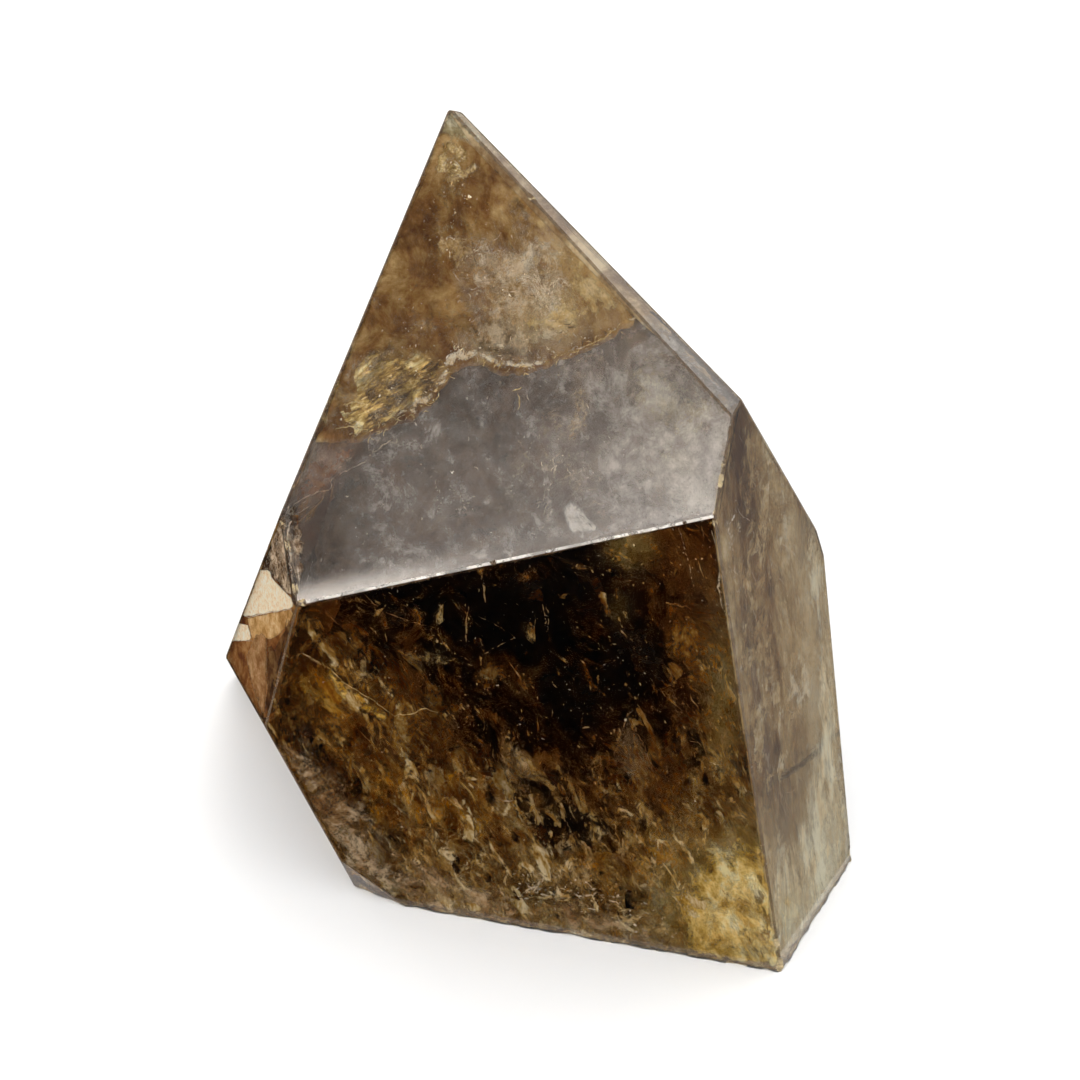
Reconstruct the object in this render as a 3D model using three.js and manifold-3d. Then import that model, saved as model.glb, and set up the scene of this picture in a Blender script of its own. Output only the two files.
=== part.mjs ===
// Golden healer quartz point: one natural piece of smoky-golden quartz,
// ground and polished to a chunky free-standing point on a sawn base.
// Millimetres, +Z up, origin at the centre of the base, longest extent up.
//
// The stone is cut the way a lapidary cuts it: a rough block is sawn flat for
// the base, every facet is ground away as a plane, the ridges between facets
// get a hair-thin polished bevel, and the small conchoidal bruises that such a
// stone picks up along its ridges and its sawn rim are scooped out last.
import * as THREE from 'three';
import { mergeVertices } from 'three/addons/utils/BufferGeometryUtils.js';
import Module from 'manifold-3d';

// ---------------------------------------------------------------- dimensions
const BLOCK = 160;             // rough block, mm
const BEVEL = 0.26;            // width of the polished bevel on a ridge, mm
const MIN_RIDGE_ANGLE = 8;     // ridges flatter than this get no bevel, degrees

// Facets: [azimuth, elevation, distance from the origin]. Azimuth 0 faces -Y
// and turns towards +X; elevation is the tilt of the facet's outward normal.
const FACETS = {
  front_prism:        [ -12.898,   2.000, 22.596],
  right_prism:        [  62.861,   8.559, 32.583],
  front_slope:        [ -33.986,  36.977, 42.766],
  left_notch:         [ -66.228,  10.833, 32.467],
  left_slope:         [-105.777,  16.978, 29.985],
  left_undercut:      [ -65.554, -17.288, 21.706],
  crest:              [  26.552,  71.637, 66.456],
  right_slope:        [ 125.737,  24.427, 29.008],
  back_right_prism:   [ 108.000,   3.781, 23.493],
  back_prism:         [ 166.000,   1.500, 25.001],
  back_left_prism:    [-134.000,   3.000, 27.073],
  back_slope:         [ 166.000,  31.000, 41.801],
  tip:                [-168.690,  75.697, 72.750],
  foot_corner:        [ -27.123, -15.896, 22.727],
  shoulder:           [  98.615,  13.599, 31.540],
};
const BASE_Z = 0;              // height of the sawn base

// Bruises: conchoidal scoops, each given by its place along a ridge, its length
// and its depth. Each is cut by a flattened pebble whose length lies along the ridge.
const SCOOP_DETAIL = 1;        // subdivision of the pebble that cuts a bruise

// ---------------------------------------------------------------- helpers
const wasm = await Module();
wasm.setup();

// Closed geometry to solid: only positions, shared corners merged.
function solid(geometry) {
  const g = geometry.clone();
  g.deleteAttribute('normal');
  g.deleteAttribute('uv');
  const m = mergeVertices(g, 1e-5);
  return new wasm.Manifold(new wasm.Mesh({
    numProp: 3,
    vertProperties: new Float32Array(m.attributes.position.array),
    triVerts: new Uint32Array(m.index.array),
  }));
}

function normalOf(az, el) {
  const a = THREE.MathUtils.degToRad(az), e = THREE.MathUtils.degToRad(el);
  return new THREE.Vector3(Math.sin(a) * Math.cos(e), -Math.cos(a) * Math.cos(e), Math.sin(e));
}

// Grinds away everything beyond one plane.
function grind(stone, normal, distance) {
  const wheel = new THREE.BoxGeometry(2 * BLOCK, 2 * BLOCK, BLOCK);
  const q = new THREE.Quaternion().setFromUnitVectors(new THREE.Vector3(0, 0, 1), normal);
  const c = normal.clone().multiplyScalar(distance + BLOCK / 2);
  wheel.applyMatrix4(new THREE.Matrix4().compose(c, q, new THREE.Vector3(1, 1, 1)));
  return stone.subtract(solid(wheel));
}

// Corner shared by three planes, or null when they don't meet in a point.
function corner(a, b, c) {
  const bc = b.n.clone().cross(c.n), det = a.n.dot(bc);
  if (Math.abs(det) < 1e-6) return null;
  return bc.multiplyScalar(a.d)
    .add(c.n.clone().cross(a.n).multiplyScalar(b.d))
    .add(a.n.clone().cross(b.n).multiplyScalar(c.d))
    .divideScalar(det);
}

// Repeatable spread of numbers from 0 to 1.
function spread(seed) {
  let s = (seed * 2654435761) >>> 0;
  return () => {
    s = (Math.imul(s ^ (s >>> 15), 2246822519) + 0x9e3779b9) >>> 0;
    return ((s ^ (s >>> 13)) >>> 0) / 4294967296;
  };
}

// ---------------------------------------------------------------- facets
const planes = Object.entries(FACETS).map(([name, [az, el, d]]) => ({ name, n: normalOf(az, el), d }));
const base = { name: 'base', n: new THREE.Vector3(0, 0, -1), d: -BASE_Z };
const all = [...planes, base];

let stone = solid(new THREE.BoxGeometry(BLOCK, BLOCK, BLOCK));
for (const p of all) stone = grind(stone, p.n, p.d);

// ---------------------------------------------------------------- ridges
// Every pair of facets that share a ridge, with the ridge's two ends.
function inside(p) { return all.every((f) => f.n.dot(p) <= f.d + 1e-4); }
const ridges = [];
for (let i = 0; i < all.length; i++) {
  for (let j = i + 1; j < all.length; j++) {
    const ends = [];
    for (let k = 0; k < all.length; k++) {
      if (k === i || k === j) continue;
      const p = corner(all[i], all[j], all[k]);
      if (p && inside(p) && !ends.some((e) => e.distanceTo(p) < 1e-3)) ends.push(p);
    }
    if (ends.length >= 2) ridges.push({ a: all[i], b: all[j], from: ends[0], to: ends[1] });
  }
}

// Hair-thin polished bevels on the ridges between polished facets.
for (const r of ridges) {
  if (r.a === base || r.b === base) continue;
  const theta = r.a.n.angleTo(r.b.n);
  if (THREE.MathUtils.radToDeg(theta) < MIN_RIDGE_ANGLE) continue;
  const n = r.a.n.clone().add(r.b.n).normalize();
  const depth = (BEVEL / 2) * Math.tan(theta / 2);
  stone = grind(stone, n, n.dot(r.from) - depth);
}

// ---------------------------------------------------------------- bruises
// One conchoidal scoop: a flattened, slightly irregular pebble whose long
// axis lies along the ridge and whose flat side faces the stone.
function scoop(at, along, outward, length, width, depth, seed) {
  const rnd = spread(seed);
  const g = new THREE.IcosahedronGeometry(1, SCOOP_DETAIL);
  g.deleteAttribute('normal');
  g.deleteAttribute('uv');
  const m = mergeVertices(g, 1e-5);
  const pos = m.attributes.position;
  const w = [rnd(), rnd(), rnd(), rnd()];
  for (let i = 0; i < pos.count; i++) {
    const v = new THREE.Vector3().fromBufferAttribute(pos, i);
    const k = 1 + 0.16 * Math.sin(5 * v.x + 6.28 * w[0]) * Math.cos(4 * v.y + 6.28 * w[1])
                + 0.10 * Math.sin(9 * v.z + 6.28 * w[2]);
    v.multiplyScalar(k);
    pos.setXYZ(i, v.x, v.y, v.z);
  }
  const z = outward.clone().normalize();
  const x = along.clone().addScaledVector(z, -along.dot(z)).normalize();
  const y = z.clone().cross(x);
  // the pebble's curvature: its centre stands proud so that only a cap cuts in
  const thick = depth * 2.2;
  const at2 = at.clone().addScaledVector(z, thick - depth);
  const rot = new THREE.Matrix4().makeBasis(x, y, z);
  rot.multiply(new THREE.Matrix4().makeRotationZ(0.5 * (w[3] - 0.5)));
  rot.multiply(new THREE.Matrix4().makeScale(length / 2 * 1.35, width / 2 * 1.35, thick));
  rot.setPosition(at2);
  m.applyMatrix4(rot);
  return solid(m);
}

function ridge(nameA, nameB) {
  return ridges.find((r) => (r.a.name === nameA && r.b.name === nameB) || (r.a.name === nameB && r.b.name === nameA));
}

// Bruises along one ridge: `marks` are [place from 0 to 1, length, depth].
// `from` says which end counts as 0: the corner nearest to that point.
function bruise(nameA, nameB, from, marks, seed, lean = 0.5) {
  const r = ridge(nameA, nameB);
  let [p, q] = [r.from, r.to];
  if (p.distanceTo(from) > q.distanceTo(from)) [p, q] = [q, p];
  const along = q.clone().sub(p).normalize();
  marks.forEach(([t, length, depth], i) => {
    const rnd = spread(seed * 97 + i * 13 + 5);
    const l = lean + 0.3 * (rnd() - 0.5);
    const out = r.a.n.clone().multiplyScalar(1 - l).addScaledVector(r.b.n, l).normalize();
    const at = p.clone().lerp(q, t);
    stone = stone.subtract(scoop(at, along, out, length, length * (0.55 + 0.35 * rnd()), depth, seed * 31 + i * 7 + 1));
  });
}

const FRONT = new THREE.Vector3(0, -60, 0);
const LEFT = new THREE.Vector3(-90, 0, 0);
const RIGHT = new THREE.Vector3(90, 0, 0);
const UP = new THREE.Vector3(0, 0, 200);

// The sawn rim in front, from the left foot to the right foot: nearly straight,
// with shallow chips of uneven length.
bruise('front_prism', 'base', LEFT, [
  [0.03, 2.4, 0.24], [0.12, 1.1, 0.10], [0.19, 3.2, 0.17], [0.285, 1.5, 0.09], [0.35, 0.8, 0.12],
  [0.44, 3.6, 0.19], [0.535, 1.2, 0.09], [0.585, 2.2, 0.24], [0.66, 0.9, 0.10], [0.72, 2.7, 0.16],
  [0.81, 1.3, 0.11], [0.88, 2.3, 0.15], [0.96, 1.2, 0.20],
], 1, 0.45);
bruise('right_prism', 'base', FRONT, [
  [0.05, 1.7, 0.30], [0.17, 1.0, 0.14], [0.28, 2.2, 0.34], [0.45, 2.6, 0.26], [0.57, 1.0, 0.14],
  [0.71, 2.1, 0.32], [0.86, 1.3, 0.16], [0.95, 1.2, 0.26],
], 2, 0.45);
bruise('foot_corner', 'base', LEFT, [[0.22, 1.5, 0.16], [0.70, 1.9, 0.20]], 3, 0.45);
bruise('left_undercut', 'base', FRONT, [
  [0.06, 1.4, 0.14], [0.22, 2.6, 0.22], [0.40, 1.1, 0.12], [0.60, 2.9, 0.26], [0.78, 1.3, 0.14], [0.92, 1.6, 0.20],
], 4, 0.5);
bruise('back_right_prism', 'base', FRONT, [
  [0.08, 1.3, 0.18], [0.22, 2.8, 0.26], [0.40, 1.2, 0.14], [0.55, 2.1, 0.24], [0.72, 1.1, 0.12], [0.88, 2.4, 0.28],
], 5, 0.45);
bruise('back_prism', 'base', RIGHT, [[0.10, 1.8, 0.22], [0.32, 1.1, 0.14], [0.54, 2.9, 0.30], [0.82, 1.6, 0.22]], 6, 0.45);
bruise('back_left_prism', 'base', LEFT, [[0.14, 2.2, 0.24], [0.42, 1.2, 0.14], [0.70, 2.4, 0.28]], 7, 0.45);

// Ridges between facets: fewer and smaller marks.
bruise('front_slope', 'right_prism', FRONT, [[0.03, 0.9, 0.14], [0.36, 1.5, 0.26], [0.52, 1.1, 0.18], [0.86, 0.8, 0.12]], 8);
bruise('front_prism', 'right_prism', UP, [[0.015, 1.0, 0.20], [0.22, 0.7, 0.09], [0.93, 1.3, 0.24], [0.985, 2.4, 0.56]], 9);
bruise('front_prism', 'front_slope', LEFT, [[0.012, 1.0, 0.16], [0.48, 0.7, 0.09], [0.93, 0.6, 0.08]], 10);
bruise('front_slope', 'left_notch', UP, [[0.12, 1.0, 0.16], [0.36, 1.5, 0.24], [0.60, 0.9, 0.14], [0.83, 1.2, 0.20]], 11);
bruise('front_slope', 'left_slope', UP, [[0.02, 0.9, 0.16], [0.30, 0.7, 0.10], [0.62, 0.8, 0.10], [0.93, 1.1, 0.16]], 12);
bruise('front_slope', 'crest', UP, [[0.17, 1.3, 0.10], [0.29, 1.8, 0.14], [0.55, 0.9, 0.08], [0.80, 1.2, 0.10]], 13);
bruise('crest', 'right_slope', UP, [[0.22, 1.0, 0.12], [0.61, 1.2, 0.16], [0.90, 0.9, 0.12]], 14);
bruise('left_slope', 'left_undercut', FRONT, [[0.05, 0.9, 0.18], [0.42, 1.4, 0.22], [0.80, 1.1, 0.18]], 15);
bruise('left_notch', 'left_undercut', LEFT, [[0.08, 0.8, 0.14], [0.90, 1.0, 0.16]], 16);
bruise('right_prism', 'back_right_prism', UP, [[0.25, 0.8, 0.10], [0.72, 1.0, 0.14], [0.97, 1.9, 0.42]], 17);
bruise('right_slope', 'back_slope', UP, [[0.15, 0.9, 0.12], [0.55, 1.4, 0.20], [0.90, 1.0, 0.14]], 18);
bruise('left_slope', 'back_left_prism', UP, [[0.10, 1.2, 0.18], [0.50, 1.0, 0.14], [0.86, 1.5, 0.24]], 19);
bruise('right_slope', 'back_right_prism', FRONT, [[0.30, 1.2, 0.16], [0.75, 0.9, 0.12]], 20);
bruise('back_slope', 'back_prism', RIGHT, [[0.35, 1.1, 0.14]], 21);

// ---------------------------------------------------------------- result
const out = stone.getMesh();
const raw = new THREE.BufferGeometry();
raw.setAttribute('position', new THREE.BufferAttribute(new Float32Array(out.vertProperties), 3));
raw.setIndex(new THREE.BufferAttribute(new Uint32Array(out.triVerts), 1));

// Origin at the centre of the footprint, on the sawn base.
raw.computeBoundingBox();
const box = raw.boundingBox;
raw.translate(-(box.min.x + box.max.x) / 2, -(box.min.y + box.max.y) / 2, -box.min.z);
raw.computeVertexNormals();

const quartz = new THREE.MeshStandardMaterial({
  name: 'smoky_golden_quartz',
  color: 0x6b5128,
  roughness: 0.12,
  metalness: 0.0,
  transparent: true,
  opacity: 0.82,
  flatShading: true,
});

const point = new THREE.Mesh(raw, quartz);
point.name = 'quartz_point';

const group = new THREE.Group();
group.name = 'golden_healer_quartz_point';
group.add(point);

export default group;
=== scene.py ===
import math

import bmesh
import bpy
import numpy as np
from mathutils import Matrix, Vector, noise
from mathutils.bvhtree import BVHTree
from mathutils.geometry import delaunay_2d_cdt


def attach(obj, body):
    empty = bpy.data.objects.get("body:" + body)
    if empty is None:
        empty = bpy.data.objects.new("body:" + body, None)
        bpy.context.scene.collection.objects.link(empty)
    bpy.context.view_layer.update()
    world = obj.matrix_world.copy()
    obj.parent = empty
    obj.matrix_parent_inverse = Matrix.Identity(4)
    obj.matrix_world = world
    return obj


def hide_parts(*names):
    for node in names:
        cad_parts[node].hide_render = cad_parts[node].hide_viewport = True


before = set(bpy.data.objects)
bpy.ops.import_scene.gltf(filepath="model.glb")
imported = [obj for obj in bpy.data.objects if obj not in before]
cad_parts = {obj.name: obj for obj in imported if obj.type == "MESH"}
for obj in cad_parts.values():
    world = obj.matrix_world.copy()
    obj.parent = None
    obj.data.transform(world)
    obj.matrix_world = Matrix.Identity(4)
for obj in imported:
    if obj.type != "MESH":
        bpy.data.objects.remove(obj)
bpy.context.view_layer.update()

# The golden healer quartz point. Everything is in metres, Z up, in the frame of
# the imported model: origin at the centre of the sawn base.
SC = bpy.context.scene
MM = 0.001

# ------------------------------------------------------------------ camera
# The view: 45 degrees above the table, 450 mm away.
CAM = np.array([0.000377, -0.312959, 0.340557])
FPX = 4838.7                       # focal length in pixels of a 1080 px frame
FWD = np.array([0.0, math.cos(math.radians(45)), -math.sin(math.radians(45))])
RIGHT = np.array([1.0, 0.0, 0.0])
UP = np.cross(RIGHT, FWD)

cam_data = bpy.data.cameras.new("camera")
cam_data.sensor_width = 36.0
cam_data.lens = FPX / 1080 * 36.0
cam_data.clip_start, cam_data.clip_end = 0.01, 30.0
cam = bpy.data.objects.new("camera", cam_data)
SC.collection.objects.link(cam)
cam.location = CAM.tolist()
cam.rotation_euler = (math.radians(45), 0.0, 0.0)
SC.camera = cam

# ------------------------------------------------------------------ the stone's facets
IOR = 1.544
FACETS = {  # azimuth, elevation, distance in mm
    "front_prism": (-12.898, 2.000, 22.596),
    "right_prism": (62.861, 8.559, 32.583),
    "front_slope": (-33.986, 36.977, 42.766),
    "left_notch": (-66.228, 10.833, 32.467),
    "left_slope": (-105.777, 16.978, 29.985),
    "left_undercut": (-65.554, -17.288, 21.706),
    "crest": (26.552, 71.637, 66.456),
    "right_slope": (125.737, 24.427, 29.008),
    "back_right_prism": (108.000, 3.781, 23.493),
    "back_prism": (166.000, 1.500, 25.001),
    "back_left_prism": (-134.000, 3.000, 27.073),
    "back_slope": (166.000, 31.000, 41.801),
    "tip": (-168.690, 75.697, 72.750),
    "foot_corner": (-27.123, -15.896, 22.727),
    "shoulder": (98.615, 13.599, 31.540),
}


def facet_plane(az, el, d):
    a, e = math.radians(az), math.radians(el)
    return np.array([math.sin(a) * math.cos(e), -math.cos(a) * math.cos(e), math.sin(e)]), d * MM


NAMES = list(FACETS) + ["base"]
PN = np.array([facet_plane(*v)[0] for v in FACETS.values()] + [np.array([0.0, 0.0, -1.0])])
PD = np.array([facet_plane(*v)[1] for v in FACETS.values()] + [0.0])


def unit(v):
    return v / np.maximum(np.linalg.norm(v, axis=-1, keepdims=True), 1e-12)


def px_rays(p):
    """Directions of the sight lines through pixels of the 1080 px frame."""
    p = np.atleast_2d(np.asarray(p, float))
    return unit(FWD[None] * FPX + RIGHT[None] * (p[:, :1] - 540) + UP[None] * (540 - p[:, 1:2]))


def to_px(p):
    """Where points of the model lie in the 1080 px frame."""
    q = p - CAM[None]
    z = q @ FWD
    return np.column_stack([540 + FPX * (q @ RIGHT) / z, 540 - FPX * (q @ UP) / z])


SURFACE = []          # search tree of the stone's real surface, filled in below


def keep_inside(pts, margin=0.18 * MM, base_margin=0.12 * MM, rounds=12):
    """Pulls points into the stone, at least a margin beneath every facet."""
    pts = pts.copy()
    m = np.full(len(PD), margin)
    m[-1] = base_margin
    for _ in range(rounds):
        over = pts @ PN.T - (PD - m)[None]
        worst = over.argmax(1)
        amount = over[np.arange(len(pts)), worst]
        hit = amount > 0
        if not hit.any():
            break
        pts[hit] -= PN[worst[hit]] * amount[hit, None]
    if SURFACE:        # bruises reach deeper than the margin: stay beneath them too
        second = np.sort(pts @ PN.T - PD[None], axis=1)[:, -2]
        for i in np.nonzero(second > -1.6 * MM)[0]:
            for _ in range(3):
                at, nrm, _i, _d = SURFACE[0].find_nearest(Vector(pts[i]))
                if (Vector(pts[i]) - at).dot(nrm) < -0.09 * MM:
                    break
                pts[i] = at - nrm * (0.12 * MM)
    return pts


def seen(p, facet, depth, margin=0.18 * MM):
    """Points that show at pixels p through one facet, at a depth in mm beneath it.
    The sight line bends as it enters the quartz."""
    p = np.atleast_2d(np.asarray(p, float))
    depth = np.broadcast_to(np.asarray(depth, float), (len(p),)) * MM
    n, d = PN[NAMES.index(facet)], PD[NAMES.index(facet)]
    r = px_rays(p)
    t = (d - CAM @ n) / (r @ n)
    at = CAM[None] + r * t[:, None]
    cos1 = -(r @ n)
    k = 1.0 / IOR
    cos2 = np.sqrt(1 - k * k * (1 - cos1 * cos1))
    inner = r * k + (k * cos1 - cos2)[:, None] * n[None]
    pts = at + inner * (depth / cos2)[:, None]
    return keep_inside(pts, margin)


# ------------------------------------------------------------------ node helpers
def new_mat(name):
    m = bpy.data.materials.new(name)
    m.use_nodes = True
    m.node_tree.nodes.clear()
    return m, m.node_tree.nodes, m.node_tree.links


def ramp(nodes, stops, interpolation="LINEAR"):
    r = nodes.new("ShaderNodeValToRGB")
    r.color_ramp.interpolation = interpolation
    e = r.color_ramp.elements
    while len(e) > 1:
        e.remove(e[-1])
    e[0].position, e[0].color = stops[0][0], (*stops[0][1], 1)
    for pos, col in stops[1:]:
        x = e.new(pos)
        x.color = (*col, 1)
    return r


def math_node(nodes, links, op, a, b=None, clamp=False):
    n = nodes.new("ShaderNodeMath")
    n.operation = op
    n.use_clamp = clamp
    for i, v in enumerate((a, b)):
        if v is None:
            continue
        if isinstance(v, (int, float)):
            n.inputs[i].default_value = v
        else:
            links.new(v, n.inputs[i])
    return n.outputs[0]


def map_range(nodes, links, value, lo, hi, to_lo=0.0, to_hi=1.0, smooth=True):
    n = nodes.new("ShaderNodeMapRange")
    n.interpolation_type = "SMOOTHSTEP" if smooth else "LINEAR"
    n.inputs["From Min"].default_value = lo
    n.inputs["From Max"].default_value = hi
    n.inputs["To Min"].default_value = to_lo
    n.inputs["To Max"].default_value = to_hi
    links.new(value, n.inputs["Value"])
    return n.outputs["Result"]


def object_coords(nodes, links, rotation=None, scale=(1, 1, 1), shift=(0, 0, 0)):
    """Object coordinates, turned so that X follows a grain direction, then scaled."""
    tc = nodes.new("ShaderNodeTexCoord")
    out = tc.outputs["Object"]
    if rotation is not None:
        m = nodes.new("ShaderNodeMapping")
        m.inputs["Rotation"].default_value = rotation
        links.new(out, m.inputs["Vector"])
        out = m.outputs["Vector"]
    m = nodes.new("ShaderNodeMapping")
    m.inputs["Scale"].default_value = scale
    m.inputs["Location"].default_value = shift
    links.new(out, m.inputs["Vector"])
    return m.outputs["Vector"]


def noise_node(nodes, links, vec, scale, detail=6, rough=0.55, distortion=0.0, lac=2.0):
    n = nodes.new("ShaderNodeTexNoise")
    n.inputs["Scale"].default_value = scale
    n.inputs["Detail"].default_value = detail
    n.inputs["Roughness"].default_value = rough
    n.inputs["Lacunarity"].default_value = lac
    n.inputs["Distortion"].default_value = distortion
    links.new(vec, n.inputs["Vector"])
    return n.outputs["Fac"]


def grain_rotation(along, normal):
    """Euler angles that turn `along` onto X and `normal` onto Z."""
    x = Vector(along).normalized()
    z = Vector(normal)
    z = (z - x * z.dot(x)).normalized()
    y = z.cross(x)
    return Matrix((x, y, z)).to_euler("XYZ")


# ------------------------------------------------------------------ quartz
ABSORB_COLOR = (0.62, 0.44, 0.16)
ABSORB_DENSITY = 60.0


def quartz_material(name, rough_lo, rough_hi, bump, bump_scale=260, frost=0.0, frost_color=(0.75, 0.68, 0.55), frost_scale=420, frost_floor=0.2):
    """Smoky quartz: plain glass with absorption. `frost` mixes a matte colour in, in spots: it whitens ground or
    bruised skin, and on the ridge bevels its dark brown is painted shade.
    """
    m, N, L = new_mat(name)
    out = N.new("ShaderNodeOutputMaterial")
    b = N.new("ShaderNodeBsdfPrincipled")
    b.inputs["Base Color"].default_value = (1.0, 1.0, 1.0, 1)
    b.inputs["IOR"].default_value = IOR
    b.inputs["Transmission Weight"].default_value = 1.0
    vec = object_coords(N, L)
    rough = map_range(N, L, noise_node(N, L, vec, 700, 4, 0.65), 0.35, 0.7, rough_lo, rough_hi)
    L.new(rough, b.inputs["Roughness"])
    if bump:
        bp = N.new("ShaderNodeBump")
        bp.inputs["Strength"].default_value = 1.0
        bp.inputs["Distance"].default_value = bump
        L.new(noise_node(N, L, vec, bump_scale, 4, 0.6), bp.inputs["Height"])
        L.new(bp.outputs["Normal"], b.inputs["Normal"])
    if frost:
        d = N.new("ShaderNodeBsdfPrincipled")
        d.inputs["Base Color"].default_value = (*frost_color, 1)
        d.inputs["Roughness"].default_value = 0.6
        d.inputs["Specular IOR Level"].default_value = 0.2
        mx = N.new("ShaderNodeMixShader")
        spots = map_range(N, L, noise_node(N, L, vec, frost_scale, 6, 0.7), 0.42, 0.62, frost * frost_floor, frost)
        L.new(spots, mx.inputs["Fac"])
        L.new(b.outputs[0], mx.inputs[1])
        L.new(d.outputs[0], mx.inputs[2])
        L.new(mx.outputs[0], out.inputs["Surface"])
    else:
        L.new(b.outputs[0], out.inputs["Surface"])
    v = N.new("ShaderNodeVolumeAbsorption")
    v.inputs["Color"].default_value = (*ABSORB_COLOR, 1)
    v.inputs["Density"].default_value = ABSORB_DENSITY
    L.new(v.outputs[0], out.inputs["Volume"])
    return m


quartz = quartz_material("quartz_polished", 0.0, 0.03, 0)
# The ridge bevels' dark brown frost is painted shade that dulls their bright mirror image of the floor.
ridge = quartz_material("quartz_ridge_painted_shade", 0.05, 0.30, 0.000006, 900, frost=0.72, frost_color=(0.095, 0.056, 0.025), frost_scale=900, frost_floor=0.6)
worn = quartz_material("quartz_worn_edge", 0.2, 0.5, 0.00001, 1500, frost=0.72, frost_color=(0.80, 0.76, 0.70), frost_scale=900, frost_floor=0.25)
bruise = quartz_material("quartz_bruise", 0.05, 0.35, 0.00001, 1500, frost=0.85, frost_color=(0.46, 0.36, 0.20), frost_scale=1300, frost_floor=0.5)
sawn = quartz_material("quartz_sawn", 0.35, 0.7, 0.00003, 1400, frost=0.75, frost_color=(0.74, 0.62, 0.42))

# The stone's surface: the imported solid with its corners joined, so that light
# passes through one closed skin. Facets, ridge bevels, bruises and the sawn
# base each have their own finish; the dark brown frost on the ridge bevels is painted shade.
WORN_RIDGES = [("front_slope", "front_prism")]
worn_normals = [unit(PN[NAMES.index(a)] + PN[NAMES.index(b)]) for a, b in WORN_RIDGES]
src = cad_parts["quartz_point"]
bm = bmesh.new()
bm.from_mesh(src.data)
bmesh.ops.remove_doubles(bm, verts=bm.verts, dist=2e-6)
bmesh.ops.dissolve_limit(bm, angle_limit=math.radians(0.15), verts=bm.verts, edges=bm.edges)
bmesh.ops.triangulate(bm, faces=[f for f in bm.faces if len(f.verts) > 3])
for f in bm.faces:
    f.smooth = False
    n = np.array(f.normal)
    c = np.array(f.calc_center_median())
    dots = PN @ n
    k = int(dots.argmax())
    near = np.sort(np.abs(PN @ c - PD))[:2]
    if dots[k] > 0.9995 and abs(PN[k] @ c - PD[k]) < 0.05 * MM:
        f.material_index = 4 if NAMES[k] == "base" else 0
    elif any(w @ n > 0.9998 for w in worn_normals):
        f.material_index = 2
    elif near[1] < 0.15 * MM and n[2] > -0.6 and c[2] > 1.5 * MM:
        f.material_index = 1
    else:
        f.material_index = 3
stone_mesh = bpy.data.meshes.new("quartz_stone")
bm.to_mesh(stone_mesh)
SURFACE.append(BVHTree.FromBMesh(bm))
bm.free()
stone = bpy.data.objects.new("quartz_stone", stone_mesh)
SC.collection.objects.link(stone)
for m in (quartz, ridge, worn, bruise, sawn):
    stone_mesh.materials.append(m)
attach(stone, "root")
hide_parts("quartz_point")

# ------------------------------------------------------------------ inclusion materials


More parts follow.
